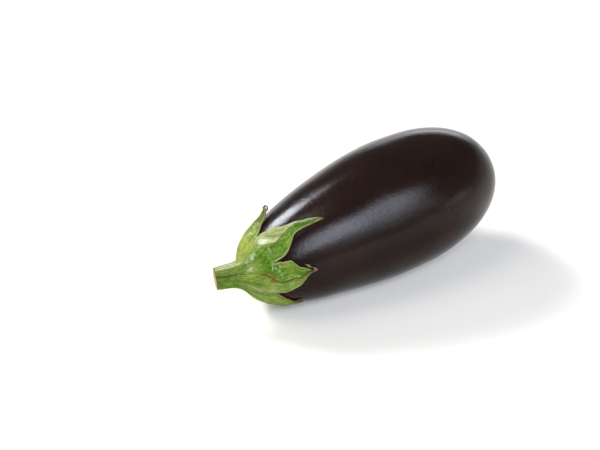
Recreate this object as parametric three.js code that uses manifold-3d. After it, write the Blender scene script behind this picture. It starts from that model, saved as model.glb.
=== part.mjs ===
// An eggplant lying on its side: the fruit, the leafy calyx that caps its neck, and the cut stem.
// Millimetres, +Z up. The stem end points to -X and the blossom end to +X. The origin is the middle of
// the small flat spot that the fruit rests on.
import * as THREE from "three";
import { mergeVertices } from "three/addons/utils/BufferGeometryUtils.js";
import Module from "manifold-3d";

const wasm = await Module();
wasm.setup();

// ---------------------------------------------------------------- driving dimensions

const FRUIT = {
  length: 187, // neck apex to blossom end, along the axis
  girth: [47.2, -5.0, 5.0, 1.3, 0.75], // radius(u) = sin(u) * sum of girth[k] * cos(k * u)
  neckBendY: 1, // how far the centreline is bent aside at the neck apex
  neckBendZ: -12, // and how far it lies under the axis there
  pitch: 3, // degrees by which the neck end lies lower than a level axis
  restDepth: 0.8, // depth that the belly is pressed flat
  neckDimple: [3, 0.28], // depth of the dimple where the stem joins, and its width in radians of u
  scarDimple: [1.2, 0.075], // the same for the blossom end
};
// Gentle departures from a round section: [waves round the section, share of the radius, phase in degrees]
const OVAL = [
  [2, 0.008, 70],
  [3, 0.005, 20],
  [5, 0.003, 100],
];

const CALYX = {
  gap: 0.35, // clearance between the calyx and the skin beneath it
  collar: 0.16, // polar angle u of the ring where the calyx's inner face begins
  rowStep: 0.04, // radians of u between the rows of the fused cap
  capRows: 10, // rows from the collar to the deepest notch
  neckRows: 7, // rows in which the cap sweeps from the stem's foot down to the skin
  edge: 0.9, // thickness at a sepal's margin
  body: 1.7, // extra thickness of the fused cap
  rib: 0.6, // height of a sepal's midrib over its roof
  ribWidth: 1.7,
  tipFade: 0.6, // share of the roof and rib that is lost by the tip
  leaveStem: 1.5, // how far the sweep follows the stem before it spreads
  meetSkin: 6, // and how far it runs along the skin before it lies on it
};

// Where the sepals part: the angle round the neck (0 is +Y, 90 is up) and the row of the notch.
const NOTCHES = [
  { angle: 27, row: 9 },
  { angle: 82.5, row: 10 },
  { angle: 136.5, row: 10 },
  { angle: 188, row: 9 },
  { angle: 245, row: 10 },
  { angle: 314, row: 9 },
];

// Sepal k lies between notch k and notch k + 1. angle and reach place its tip: the angle round the neck and
// the distance from the neck apex along the axis. lift is how far the tip stands off the skin, and twist
// how steeply it slopes across. roof is the height of the midline over the margins. The width is the sum of
// a blade, which falls away over the shoulder, and a tail, which tapers all the way to the tip.
const SEPALS = [
  { angle: 54, reach: 32.5, lift: 2.6, twist: -0.3, roof: 2.1, tail: 0.95, taper: 0.9, shoulder: [0, 0.4] },
  { angle: 119.5, reach: 52, lift: 0.6, twist: 0, roof: 1.9, tail: 0.42, taper: 0.65, shoulder: [0.16, 0.58] },
  { angle: 163.5, reach: 34.5, lift: 0.9, twist: 0, roof: 1.3, tail: 0.25, taper: 0.6, shoulder: [0.17, 1.05] },
  { angle: 213, reach: 28, lift: 0.4, twist: 0, roof: 1.1, tail: 0.95, taper: 1.3, shoulder: [0, 0.4] },
  { angle: 286, reach: 34, lift: 0.6, twist: 0.1, roof: 1.2, tail: 0.4, taper: 0.8, shoulder: [0.2, 0.8] },
  { angle: 348, reach: 45, lift: 1.2, twist: 0.15, roof: 1.9, tail: 0.42, taper: 0.7, shoulder: [0.18, 0.65] },
];
const TIP_WIDTH = 0.9; // a sepal's blunt end, in degrees to each side
const MARGIN_WAVE = { size: 0.6, rate: 11, start: -2, offset: 0.7 }; // degrees; radians for each q; phases

const STEM = {
  foot: [-3.2, 3.3, -8.9], // where it leaves the calyx, from the neck apex
  footRadius: 8.2,
  endRadius: 5.7,
  length: 14.8,
  turn: [18, 33], // its heading at the foot and at the cut, in degrees from the axis towards +Y
  droop: 3, // and its heading below the axis
  ridge: 1.1, // height of the ridges, one above each sepal's midline
  flare: 3.2, // distance in which it narrows to half way between the two radii
  cutTurn: 16, // degrees that the cut face is turned back towards the axis
  gap: 0.3, // clearance to the calyx
  rows: 6,
};

const FRUIT_GRID = { along: 44, round: 64 };
const SEPAL_COLUMNS = 10;
const SEPAL_ROWS = 12; // rows from the deepest notch to the tip

const COLOURS = { skin: 0x1d1210, sepal: 0x6f9a3c, stalk: 0x6c9440 };

// ---------------------------------------------------------------- curves

const radians = THREE.MathUtils.degToRad;
const smoothstep = THREE.MathUtils.smoothstep;
const lerp = THREE.MathUtils.lerp;

const girthAt = (u) =>
  Math.sin(u) * FRUIT.girth.reduce((sum, g, k) => sum + g * Math.cos(k * u), 0);

const polarAngle = (x) => Math.acos(1 - (2 * x) / FRUIT.length);

// Turns the fruit's own frame, whose axis is X with the neck apex at 0, into the lying pose.
const tilt = new THREE.Matrix4().makeRotationY(-radians(FRUIT.pitch));

// A point of the skin: u runs from 0 at the neck apex to PI at the blossom end, angle goes round.
function skinPoint(u, angle) {
  const t = (1 - Math.cos(u)) / 2;
  const bend = (1 - t) ** 2;
  const oval = OVAL.reduce((sum, [k, share, at]) => sum + share * Math.cos(k * (angle - radians(at))), 0);
  const radius = girthAt(u) * (1 + oval * Math.sin(u));
  const dimple = ([depth, width], from) => depth * Math.exp(-((from / width) ** 2));
  return new THREE.Vector3(
    FRUIT.length * t + dimple(FRUIT.neckDimple, u) - dimple(FRUIT.scarDimple, Math.PI - u),
    FRUIT.neckBendY * bend + radius * Math.cos(angle),
    FRUIT.neckBendZ * bend + radius * Math.sin(angle),
  ).applyMatrix4(tilt);
}

function skinNormal(u, angle) {
  const step = 1e-3;
  const along = skinPoint(u + step, angle).sub(skinPoint(u - step, angle));
  const round = skinPoint(u, angle + step).sub(skinPoint(u, angle - step));
  return round.cross(along).normalize();
}

// The lowest point of the belly before it is pressed flat.
function lowestPoint() {
  let lowest = skinPoint(Math.PI / 2, 0);
  for (let u = 0.5; u < 2.6; u += 0.002) {
    for (let side = -0.2; side < 0.2; side += 0.01) {
      const p = skinPoint(u, -Math.PI / 2 + side);
      if (p.z < lowest.z) lowest = p;
    }
  }
  return lowest;
}

// ---------------------------------------------------------------- meshes and solids

const belly = lowestPoint();
const toOrigin = new THREE.Vector3(-belly.x, -belly.y, -belly.z - FRUIT.restDepth);

// Triangles of points as a geometry with shared corners, moved so that the resting spot is at the origin.
function geometryOf(triangles) {
  const flat = triangles.flatMap((t) => t.flatMap((p) => p.clone().add(toOrigin).toArray()));
  const geometry = new THREE.BufferGeometry();
  geometry.setAttribute("position", new THREE.BufferAttribute(new Float32Array(flat), 3));
  return mergeVertices(geometry, 1e-4);
}

// Two triangles for each cell of a grid of points, without those that close up at a pole.
function skinOf(rows, flip = false) {
  const triangles = [];
  for (let i = 0; i + 1 < rows.length; i++) {
    for (let j = 0; j + 1 < rows[i].length; j++) {
      const [a, b, c, d] = [rows[i][j], rows[i][j + 1], rows[i + 1][j + 1], rows[i + 1][j]];
      const pair = flip ? [[a, c, b], [a, d, c]] : [[a, b, c], [a, c, d]];
      triangles.push(...pair.filter(([p, q, r]) => !p.equals(q) && !q.equals(r) && !r.equals(p)));
    }
  }
  return triangles;
}

function manifoldOf(geometry) {
  return new wasm.Manifold(
    new wasm.Mesh({
      numProp: 3,
      vertProperties: new Float32Array(geometry.attributes.position.array),
      triVerts: new Uint32Array(geometry.index.array),
    }),
  );
}

function geometryOfManifold(solid) {
  const mesh = solid.getMesh();
  return new THREE.BufferGeometry()
    .setAttribute("position", new THREE.BufferAttribute(mesh.vertProperties, 3))
    .setIndex(new THREE.BufferAttribute(mesh.triVerts, 1));
}

function shaded(name, geometry, colour, roughness) {
  geometry.computeVertexNormals();
  const mesh = new THREE.Mesh(
    geometry,
    new THREE.MeshStandardMaterial({ color: colour, roughness, metalness: 0 }),
  );
  mesh.name = name;
  return mesh;
}

// ---------------------------------------------------------------- fruit

function fruit() {
  const { along, round } = FRUIT_GRID;
  const rows = [];
  for (let i = 0; i <= along; i++) {
    const u = (Math.PI * i) / along;
    rows.push(Array.from({ length: round + 1 }, (_, j) => skinPoint(u, (2 * Math.PI * (j % round)) / round)));
  }
  rows[0].fill(skinPoint(0, 0));
  rows[along].fill(skinPoint(Math.PI, 0));
  const whole = manifoldOf(geometryOf(skinOf(rows)));
  // The resting spot: what would reach under the surface that it lies on is cut away.
  const below = new THREE.BoxGeometry(2 * FRUIT.length, FRUIT.length, FRUIT.length);
  below.translate(0, 0, -FRUIT.length / 2);
  below.deleteAttribute("normal");
  below.deleteAttribute("uv");
  const resting = whole.subtract(manifoldOf(mergeVertices(below)));
  return shaded("fruit", geometryOfManifold(resting), COLOURS.skin, 0.2);
}

// ---------------------------------------------------------------- calyx

const capEnd = CALYX.collar + CALYX.capRows * CALYX.rowStep;
const neckEnd = CALYX.collar + CALYX.neckRows * CALYX.rowStep;

// A sepal's width at q, 0 at the notch and 1 at the tip, as a share of its width at the notch.
const sepalWidth = (q, { tail, taper, shoulder }) =>
  (1 - tail) * (1 - smoothstep(q, ...shoulder)) + tail * Math.max(1 - q, 0) ** taper;

// The angle of one margin of a sepal at u: it follows the notch line down to the notch, then closes on
// the midline, with a slight wave.
function margin(u, side, sepal, notch, middle) {
  const notchU = CALYX.collar + notch.row * CALYX.rowStep;
  const q = (u - notchU) / (polarAngle(sepal.reach) - notchU);
  if (q <= 0) return notch.at;
  const phase = MARGIN_WAVE.rate * q + MARGIN_WAVE.start + MARGIN_WAVE.offset * side;
  const wave = MARGIN_WAVE.size * Math.sin(phase) * Math.sin(Math.PI * q);
  return lerp(middle, notch.at, sepalWidth(q, sepal)) + side * (TIP_WIDTH * q ** 4 + wave);
}

// Height of the calyx's outer face over the skin, across a sepal from v = -1 to 1. q is 0 at the notch.
function outerHeight(u, v, q, halfWidth, sepal) {
  const cap = 1 - smoothstep(u, CALYX.collar, capEnd);
  const roof = sepal.roof * (1 - Math.abs(v));
  const rib = CALYX.rib * (1 - v * v) * Math.exp(-(((v * halfWidth) / CALYX.ribWidth) ** 2));
  return CALYX.gap + CALYX.edge + CALYX.body * cap + (roof + rib) * (1 - CALYX.tipFade * q);
}

// The direction of the stem where it has turned by an angle from the fruit's axis towards +Y.
const headingAt = (degrees) =>
  new THREE.Vector3(-Math.cos(radians(degrees)), Math.sin(radians(degrees)), -Math.sin(radians(STEM.droop)))
    .transformDirection(tilt);

// A point of the stem's outline round a centre, for a heading. A ridge stands above each midline, v = 0.
function stemRing(centre, turn, radius, angle, v) {
  const aside = new THREE.Vector3(Math.sin(radians(turn)), Math.cos(radians(turn)), 0);
  const spoke = aside.multiplyScalar(Math.cos(angle)).add(new THREE.Vector3(0, 0, Math.sin(angle)));
  const reach = radius + STEM.ridge * (1 - Math.abs(v)) ** 1.5 * (radius / STEM.footRadius);
  return spoke.transformDirection(tilt).multiplyScalar(reach).add(centre);
}

const stemFoot = new THREE.Vector3(...STEM.foot).applyMatrix4(tilt);

// The fused cap sweeps from the stem's foot to the skin along a Bezier curve: s is 0 at the stem.
function sweep(s, angle, v, landing, downSkin) {
  const start = stemRing(stemFoot, STEM.turn[0], STEM.footRadius, angle, v);
  const leave = start.clone().addScaledVector(headingAt(STEM.turn[0]), -CALYX.leaveStem);
  const arrive = landing.clone().addScaledVector(downSkin, -CALYX.meetSkin);
  return new THREE.CubicBezierCurve3(start, leave, arrive, landing).getPoint(s);
}

// One sepal, with its share of the fused cap: the grids of its outer and inner faces, from the collar
// to the tip, and the rows at which each margin comes free of its neighbour.
function sepalGrids(k) {
  const sepal = SEPALS[k];
  const left = { ...NOTCHES[k], at: NOTCHES[k].angle };
  const next = NOTCHES[(k + 1) % NOTCHES.length];
  const right = { ...next, at: next.angle + (k + 1 === NOTCHES.length ? 360 : 0) };
  const tipU = polarAngle(sepal.reach);
  const steps = [];
  for (let i = 0; i <= CALYX.capRows; i++) steps.push(CALYX.collar + i * CALYX.rowStep);
  for (let i = 1; i <= SEPAL_ROWS; i++) steps.push(capEnd + ((tipU - capEnd) * i) / SEPAL_ROWS);
  const outer = [];
  const inner = [];
  for (const u of steps) {
    const q = Math.max(0, (u - capEnd) / (tipU - capEnd));
    const middle = lerp((left.at + right.at) / 2, sepal.angle, q ** 3);
    const from = margin(u, -1, sepal, left, middle);
    const to = margin(u, 1, sepal, right, middle);
    const row = { outer: [], inner: [] };
    for (let j = 0; j <= SEPAL_COLUMNS; j++) {
      const v = (2 * j) / SEPAL_COLUMNS - 1;
      // The two angles of a shared notch line are a whole turn apart on the last sepal, so wrap them.
      const angle = radians(lerp(from, to, (v + 1) / 2) % 360);
      const atHeight = (at, height) => skinPoint(at, angle).addScaledVector(skinNormal(at, angle), height);
      const landU = Math.max(u, neckEnd);
      const halfWidth = (girthAt(landU) * radians(to - from)) / 2;
      const lift = (sepal.lift + sepal.twist * v * halfWidth) * q * q;
      const landing = atHeight(landU, outerHeight(landU, v, q, halfWidth, sepal) + lift);
      const ahead = skinPoint(landU + 0.01, angle).sub(skinPoint(landU, angle)).normalize();
      const s = Math.min(1, (u - CALYX.collar) / (neckEnd - CALYX.collar));
      row.outer.push(s < 1 ? sweep(s, angle, v, landing, ahead) : landing);
      row.inner.push(atHeight(u, CALYX.gap + lift));
    }
    outer.push(row.outer);
    inner.push(row.inner);
  }
  return { outer, inner, leftRow: left.row, rightRow: right.row };
}

const fan = (centre, ring) => ring.map((p, i) => [centre, p, ring[(i + 1) % ring.length]]);

function calyx() {
  const sepals = SEPALS.map((_, k) => sepalGrids(k));
  const triangles = [];
  for (const { outer, inner, leftRow, rightRow } of sepals) {
    triangles.push(...skinOf(outer), ...skinOf(inner, true));
    // The free margins: walls between the two faces, from the notches down, and across the tip.
    const wall = (row, column) => [inner[row][column], outer[row][column]];
    const last = outer.length - 1;
    const leftWall = [];
    const rightWall = [];
    for (let i = leftRow; i <= last; i++) leftWall.push(wall(i, 0));
    for (let i = rightRow; i <= last; i++) rightWall.push(wall(i, SEPAL_COLUMNS));
    triangles.push(...skinOf(leftWall), ...skinOf(rightWall, true));
    triangles.push(...skinOf([inner[last], outer[last]], true));
  }
  // The collar is filled: a flat disc under the stem, and a disc over the neck apex.
  const outerRing = sepals.flatMap((s) => s.outer[0].slice(0, -1));
  const innerRing = sepals.flatMap((s) => s.inner[0].slice(0, -1));
  triangles.push(...fan(stemFoot, outerRing).map(([a, b, c]) => [a, c, b]));
  const neckApex = skinPoint(0, 0).addScaledVector(headingAt(0), 2 * CALYX.gap);
  triangles.push(...fan(neckApex, innerRing));
  return shaded("calyx", geometryOf(triangles), COLOURS.sepal, 0.6);
}

// ---------------------------------------------------------------- stem

function stem() {
  // The outline's angles, and where each lies across its sepal, are the calyx's own.
  const outline = NOTCHES.flatMap(({ angle }, k) => {
    const end = k + 1 < NOTCHES.length ? NOTCHES[k + 1].angle : NOTCHES[0].angle + 360;
    return Array.from({ length: SEPAL_COLUMNS }, (_, j) => {
      const share = j / SEPAL_COLUMNS;
      return { angle: radians(lerp(angle, end, share)), v: 2 * share - 1 };
    });
  });
  const spine = stemFoot.clone().addScaledVector(headingAt(STEM.turn[0]), STEM.gap);
  const foot = spine.clone();
  const cut = headingAt(STEM.turn[1] - STEM.cutTurn);
  const rows = [];
  for (let i = 0; i <= STEM.rows; i++) {
    const s = i / STEM.rows;
    const turn = lerp(...STEM.turn, s);
    if (i > 0) spine.addScaledVector(headingAt(turn), STEM.length / STEM.rows);
    const narrowing = 1 - 2 ** ((-s * STEM.length) / STEM.flare);
    const radius = lerp(STEM.footRadius, STEM.endRadius, narrowing);
    rows.push(outline.map(({ angle, v }) => stemRing(spine, turn, radius, angle, v)));
  }
  // The last ring slides along the stem onto the oblique plane of the cut.
  const along = headingAt(STEM.turn[1]);
  for (const p of rows[STEM.rows]) {
    p.addScaledVector(along, -p.clone().sub(spine).dot(cut) / along.dot(cut));
  }
  const triangles = skinOf(rows.map((row) => [...row, row[0]]), true);
  triangles.push(...fan(foot, rows[0]));
  triangles.push(...fan(spine, rows[STEM.rows]).map(([a, b, c]) => [a, c, b]));
  return shaded("stem", geometryOf(triangles), COLOURS.stalk, 0.6);
}

const eggplant = new THREE.Group();
eggplant.name = "eggplant";
eggplant.add(fruit(), calyx(), stem());

export default eggplant;
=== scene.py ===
# %% [markdown]
# # An eggplant on a white studio floor
#
# This notebook dresses one eggplant for a picture: the glossy fruit, the leafy calyx over its neck
# and the cut stem. The plain solids come packed as the frame, and they give the size, the place and
# the way the fruit lies. Here each of them is rebuilt finer, from the same formulas, and gets its
# real finish.
#
# Everything is in metres in Blender, but lengths are written in millimetres, as on a drawing.
# +X runs from the stem to the blossom end, +Z is up, and the origin is where the fruit rests.

import bmesh
import bpy
import numpy as np
from mathutils import Matrix, Vector


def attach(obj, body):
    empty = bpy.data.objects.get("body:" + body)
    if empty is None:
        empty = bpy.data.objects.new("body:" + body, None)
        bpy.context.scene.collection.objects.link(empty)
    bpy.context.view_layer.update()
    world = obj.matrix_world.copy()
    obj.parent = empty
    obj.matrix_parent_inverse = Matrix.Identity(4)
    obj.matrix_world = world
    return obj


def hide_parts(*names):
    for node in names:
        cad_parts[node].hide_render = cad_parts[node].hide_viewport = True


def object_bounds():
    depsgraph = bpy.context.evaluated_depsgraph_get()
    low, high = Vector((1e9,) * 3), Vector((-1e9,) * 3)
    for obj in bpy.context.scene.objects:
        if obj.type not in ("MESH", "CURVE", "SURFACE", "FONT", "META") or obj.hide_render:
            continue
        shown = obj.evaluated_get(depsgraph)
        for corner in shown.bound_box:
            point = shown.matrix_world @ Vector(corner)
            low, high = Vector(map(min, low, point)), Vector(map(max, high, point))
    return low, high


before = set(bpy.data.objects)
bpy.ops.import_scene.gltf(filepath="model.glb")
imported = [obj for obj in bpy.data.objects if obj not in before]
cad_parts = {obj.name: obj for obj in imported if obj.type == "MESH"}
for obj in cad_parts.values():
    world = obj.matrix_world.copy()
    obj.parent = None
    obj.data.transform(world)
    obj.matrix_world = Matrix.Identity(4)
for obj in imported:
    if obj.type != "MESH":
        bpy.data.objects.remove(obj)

cad_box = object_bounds()
box_in_mm = [[round(1000 * c, 1) for c in corner] for corner in cad_box]
print("frame:", sorted(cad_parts), "box in mm:", box_in_mm)

# %% [markdown]
# ## Small tools
#
# A living surface has no flat panels and no straight edges, so nothing here starts from a cube or a
# cylinder. Each piece is a surface worked out with numpy: a whole grid of points at once from two
# parameters. It could be sculpted instead, but a formula can be changed by one number. These
# helpers blend and steer such grids.

# %% Helpers for shapes
MM = 0.001
FAR = 99  # stands for a distance in mm at which a scar or a margin no longer matters


def smoothstep(x, low, high):
    """0 below low, 1 above high, and 3 t^2 - 2 t^3 in between, where t is the share of the way."""
    t = np.clip((x - low) / (high - low), 0, 1)
    return t * t * (3 - 2 * t)


def mix(a, b, share):
    """a where share is 0, b where it is 1, and a straight blend in between."""
    return a + (b - a) * share


def soft_abs(x, radius):
    """|x| with its kink at 0 rounded to a radius, and still 1 at x = 1."""
    return (np.sqrt(x * x + radius**2) - radius) / (np.sqrt(1 + radius**2) - radius)


def unit(vectors):
    """Each vector divided by its own length."""
    return vectors / np.linalg.norm(vectors, axis=-1, keepdims=True)


def cells(index):
    """The four corners of every cell of a grid of point numbers, as a list of faces."""
    a, b, c, d = index[:-1, :-1], index[:-1, 1:], index[1:, 1:], index[1:, :-1]
    return np.stack([a, b, c, d], -1).reshape(-1, 4).tolist()


def fan(hub, ring):
    """The triangles between a middle point and a closed ring of point numbers."""
    return np.stack([np.full(len(ring), hub), ring, np.roll(ring, -1)], -1).tolist()


quarters = np.linspace(0, 1, 5)
print("a smooth step at each quarter:", smoothstep(quarters, 0, 1).round(2).tolist())

# %% [markdown]
# ## From points to a mesh
#
# A grid of points only becomes a thing when faces join it and nothing is left open. Blender's own
# tools could weld the seams one by one, but the same few steps serve every piece here. The mesh
# also carries numbers at its corners that the materials can read later, such as how far a point is
# from the edge of its leaf.

# %% Make a closed mesh
def make_mesh(name, points_mm, faces, values, merge_mm=0.002, sharp_degrees=50):
    """A closed mesh object from points, faces, and a named number or vector for each point, which
    is kept at the faces' corners. Points closer than merge_mm become one, which closes the seams
    and turns cells at a pole into triangles. Edges sharper than sharp_degrees stay crisp."""
    mesh = bpy.data.meshes.new(name)
    mesh.from_pydata(np.asarray(points_mm) * MM, [], faces)
    corner = np.zeros(len(mesh.loops), int)
    mesh.loops.foreach_get("vertex_index", corner)
    for key, data in values.items():
        kind, field = ("FLOAT_VECTOR", "vector") if data.ndim == 2 else ("FLOAT", "value")
        attribute = mesh.attributes.new(key, kind, "CORNER")
        attribute.data.foreach_set(field, data[corner].astype(np.float32).ravel())
    shell = bmesh.new()
    shell.from_mesh(mesh)
    bmesh.ops.remove_doubles(shell, verts=shell.verts, dist=merge_mm * MM)
    bmesh.ops.recalc_face_normals(shell, faces=shell.faces)
    if shell.calc_volume(signed=True) < 0:
        bmesh.ops.reverse_faces(shell, faces=shell.faces)
    open_edges = sum(len(edge.link_faces) != 2 for edge in shell.edges)
    volume_cm3 = shell.calc_volume(signed=True) / (10 * MM) ** 3
    shell.to_mesh(mesh)
    shell.free()
    mesh.shade_smooth()
    mesh.set_sharp_from_angle(angle=np.radians(sharp_degrees))
    made = bpy.data.objects.new(name, mesh)
    bpy.context.scene.collection.objects.link(made)
    triangles = sum(len(face.vertices) - 2 for face in mesh.polygons)
    print(f"{name}: {triangles} triangles, {open_edges} open edges, {volume_cm3:.2f} cm3")
    return made


# %% [markdown]
# ## The fruit's form
#
# An eggplant is a berry that hangs from its stem and swells most where it hangs lowest, so its
# outline is an egg drawn out into a neck. It could be modelled by sculpting a sphere, but its
# smooth gloss shows every dent, so a formula is better: the radius at polar angle u is sin(u) times
# a short cosine series, which is round at both ends and bulges where it should. The neck is bent a
# little off the axis.

# %% The fruit's own numbers
LENGTH = 187  # neck apex to blossom end, along the axis
GIRTH = [47.2, -5.0, 5.0, 1.3, 0.75]
NECK_BEND = np.array([0, 1, -12])  # how far the centreline is off the axis at the neck apex
PITCH = np.radians(3)  # the neck end lies a little lower than the blossom end
REST_DEPTH = 0.8  # how deep the belly is pressed flat where it rests
# Dimples under the stem and at the blossom scar: depth in mm, and width in radians of u.
NECK_DIMPLE, SCAR_DIMPLE = (3, 0.28), (1.2, 0.075)
OVAL = [(2, 0.008, 70), (3, 0.005, 20), (5, 0.003, 100)]  # waves round, share of the radius, phase


def girth_at(u):
    """The fruit's radius at polar angle u: sin(u) times the sum of GIRTH[k] cos(k u)."""
    return np.sin(u) * sum(g * np.cos(k * u) for k, g in enumerate(GIRTH))


def polar_angle(x):
    """The polar angle u of the place at distance x from the neck apex along the axis."""
    return np.arccos(1 - 2 * x / LENGTH)


thickness = 2 * girth_at(np.linspace(0, np.pi, 181)).max()
print("the fruit is", LENGTH, "mm long and about", round(float(thickness), 1), "mm thick")

# %% [markdown]
# ## Points of the skin
#
# A point of the skin is given by how far along the fruit it is, u, and by an angle round the axis.
# A real fruit is never quite round and dips in where the stem and the flower grew. A lattice could
# push it out of shape, but the dents belong to set places, so they are terms of the same formula.

# %% Points of the skin
TILT = np.array([[np.cos(PITCH), 0, -np.sin(PITCH)], [0, 1, 0], [np.sin(PITCH), 0, np.cos(PITCH)]])


def grown_point(u, angle):
    """A point of the skin in the fruit's own frame, neck apex at 0 and tilted as it lies: the axis
    place is LENGTH (1 - cos u) / 2, and round it goes the radius, a touch out of round."""
    u, angle = np.broadcast_arrays(u, angle)
    t = (1 - np.cos(u)) / 2
    oval = sum(share * np.cos(k * (angle - np.radians(at))) for k, share, at in OVAL)
    radius = girth_at(u) * (1 + oval * np.sin(u))
    neck = NECK_DIMPLE[0] * np.exp(-((u / NECK_DIMPLE[1]) ** 2))
    scar = SCAR_DIMPLE[0] * np.exp(-(((np.pi - u) / SCAR_DIMPLE[1]) ** 2))
    spine = ((1 - t) ** 2)[..., None] * NECK_BEND
    place = np.stack([LENGTH * t + neck - scar, radius * np.cos(angle), radius * np.sin(angle)], -1)
    return (spine + place) @ TILT.T


# The fruit's lowest point before it is pressed, from the neck apex.
BELLY = np.array([89.285, -0.993, -41.442])
REST_SPOT = BELLY + [0, 0, REST_DEPTH]


def skin_point(u, angle):
    """A point of the skin with the resting spot at the origin."""
    return grown_point(u, angle) - REST_SPOT


def skin_normal(u, angle):
    """The outward direction at a point of the skin, from its slopes along and round."""
    step = 1e-3
    along = skin_point(u + step, angle) - skin_point(u - step, angle)
    round_it = skin_point(u, angle + step) - skin_point(u, angle - step)
    return unit(np.cross(round_it, along))


ends = [skin_point(u, 0.0).round(1).tolist() for u in (0.0, np.pi)]
print("neck apex and blossom end in mm:", ends)

# %% [markdown]
# ## The fruit
#
# Skin stretched over soft flesh is never perfectly even: gentle swells a centimetre or three across
# bend the reflections, and puckers run into the little corky scar where the flower fell off. They
# could be left to a bump texture, but on a gloss this dark the reflections are the shape, so they
# are real geometry here.

# %% The fruit's fine relief
FRUIT_ROWS, FRUIT_COLUMNS = 260, 340
ROW_CROWDING = 0.22  # how much closer the rows lie at the two ends, where scar and neck need them
# Swells: height in mm, waves along, waves round, phase.
SWELLS = [(0.16, 5, 1, 0.3), (0.12, 9, -2, 1.9), (0.10, 12, 3, 4.0), (0.07, 8, -4, 2.6),
          (0.04, 19, 5, 0.8), (0.035, 15, -7, 5.1)]
SWELLS_BEGIN = (0.5, 1.2)  # between these u they set in, so that the skin under the calyx is even
PUCKERS, PUCKER_HEIGHT = 11, 0.09  # how many run into the scar, and how high they stand
PUCKER_RING, PUCKER_WIDTH = 5, 2.6  # how far from its middle they are highest, and their reach
SCAR_RADIUS, CORK_HEIGHT, CORK_GRAIN, CORK_RATE = 3.2, 0.55, 0.16, 5

u_row = np.linspace(0, np.pi, FRUIT_ROWS)
u_row = u_row - ROW_CROWDING * np.sin(2 * u_row)
turn_row = np.linspace(0, 2 * np.pi, FRUIT_COLUMNS)
u_grid, angle_grid = np.meshgrid(u_row, turn_row, indexing="ij")
# Distance from the blossom end in mm, stretched unevenly so that the scar isn't a perfect disc.
stretch = 1 + 0.12 * np.sin(2 * angle_grid + 1) + 0.07 * np.sin(7 * angle_grid)
from_scar = np.where(u_grid > np.pi / 2, girth_at(u_grid) * stretch, FAR)

swell_mm = sum(h * np.sin(m * u_grid + n * angle_grid + at) for h, m, n, at in SWELLS)
swell_mm = swell_mm * np.sin(u_grid) * smoothstep(u_grid, *SWELLS_BEGIN)
pucker_mm = PUCKER_HEIGHT * np.cos(PUCKERS * angle_grid + 2 * np.sin(3 * angle_grid))
pucker_mm = pucker_mm * (1 + 0.6 * np.sin(2 * angle_grid))
pucker_mm = pucker_mm * np.exp(-(((from_scar - PUCKER_RING) / PUCKER_WIDTH) ** 2))
crumbly = CORK_GRAIN * np.sin(CORK_RATE * from_scar + np.sin(4 * angle_grid))
cork_mm = (CORK_HEIGHT + crumbly) * np.exp(-((from_scar / SCAR_RADIUS) ** 4))
relief_mm = swell_mm + pucker_mm + cork_mm
print("relief in mm:", round(float(relief_mm.min()), 2), "to", round(float(relief_mm.max()), 2))

# %% [markdown]
# ## The fruit's skin
#
# The relief is laid on the form along its normal. Then the belly is pressed flat where it carries
# the weight: a boolean cut would leave a sharp rim, so heights near 0 are eased onto the floor
# instead, by (z + sqrt(z^2 + ease^2)) / 2. Two numbers go with each point for the gloss and the
# cork
# to read: how far it faces down, where the gloss is turned down as painted shade, and how far from
# the scar.

# %% Make the fruit
NEAR_POLE = 2e-3  # the normal is taken this far from a pole, in radians
PRESS_EASE = 0.12  # mm over which the rim of the pressed spot is eased
UNDERSIDE_FACING = (-0.5, -0.05)  # the gloss is turned down between these, by how far the normal points down: painted shade
UNDERSIDE_END = (1.75, 2.3)  # and it fades out between these u, towards the blossom end

outward = skin_normal(np.clip(u_grid, NEAR_POLE, np.pi - NEAR_POLE), angle_grid)
skin = skin_point(u_grid, angle_grid) + relief_mm[..., None] * outward
skin[[0, -1]] = skin[[0, -1]].mean(axis=1, keepdims=True)
skin[:, -1] = skin[:, 0]
skin[..., 2] = (skin[..., 2] + np.sqrt(skin[..., 2] ** 2 + PRESS_EASE**2)) / 2
skin[..., 2] -= skin[..., 2].min()
# How far the skin faces down: its gloss is turned down there, which darkens the mirrored floor as
# painted shade.
underside_shade = smoothstep(-outward[..., 2], *UNDERSIDE_FACING) * (1 - smoothstep(u_grid, *UNDERSIDE_END))

fruit = make_mesh(
    "aubergine_fruit",
    skin.reshape(-1, 3),
    cells(np.arange(skin[..., 0].size).reshape(skin.shape[:2])),
    {"from_scar": from_scar.ravel(), "underside_shade": underside_shade.ravel()},
)

# %% [markdown]
# ## How the calyx is laid out
#
# The calyx is the flower's old cup: a fleshy cap fused round the stem, which splits into pointed
# sepals. It could be cut from a sheet and wrapped on, but it grows thicker towards the stem and
# every sepal tapers, so it is worked out on the skin itself. Each sepal has a grid: u goes down the
# fruit from the stem, and v goes across, from -1 at one margin to 1 at the other. Neighbours share
# a line as far as the notch between them, and from there each margin closes in on its own tip.

# %% The calyx's own numbers
COLLAR = 0.16  # the ring, as polar angle u, where the cap's inner face begins
ROW_STEP, CAP_STEPS = 0.04, 10  # the cap's depth is 10 steps of u, and notches count in them
CAP_END = COLLAR + CAP_STEPS * ROW_STEP  # where the deepest notches end and the blades begin
NECK_END = COLLAR + 7 * ROW_STEP  # where the sweep from the stem has reached the skin
GAP = 0.35  # mm of air between skin and calyx
EDGE, BODY = 0.9, 1.7  # thickness of a margin, and how much thicker the cap is by the stem
RIB, RIB_WIDTH = 0.6, 1.7  # the rib on a sepal's keel
TIP_FADE = 0.6  # the share of the keel's height that is lost by the tip
LEAVE_STEM, MEET_SKIN = 1.5, 6  # how far the sweep runs on along the stem, and back along the skin

# Where the sepals part: the angle round the neck (0 is +Y, 90 is up) and the depth of the notch.
NOTCHES = [(27, 9), (82.5, 10), (136.5, 10), (188, 9), (245, 10), (314, 9)]
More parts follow.
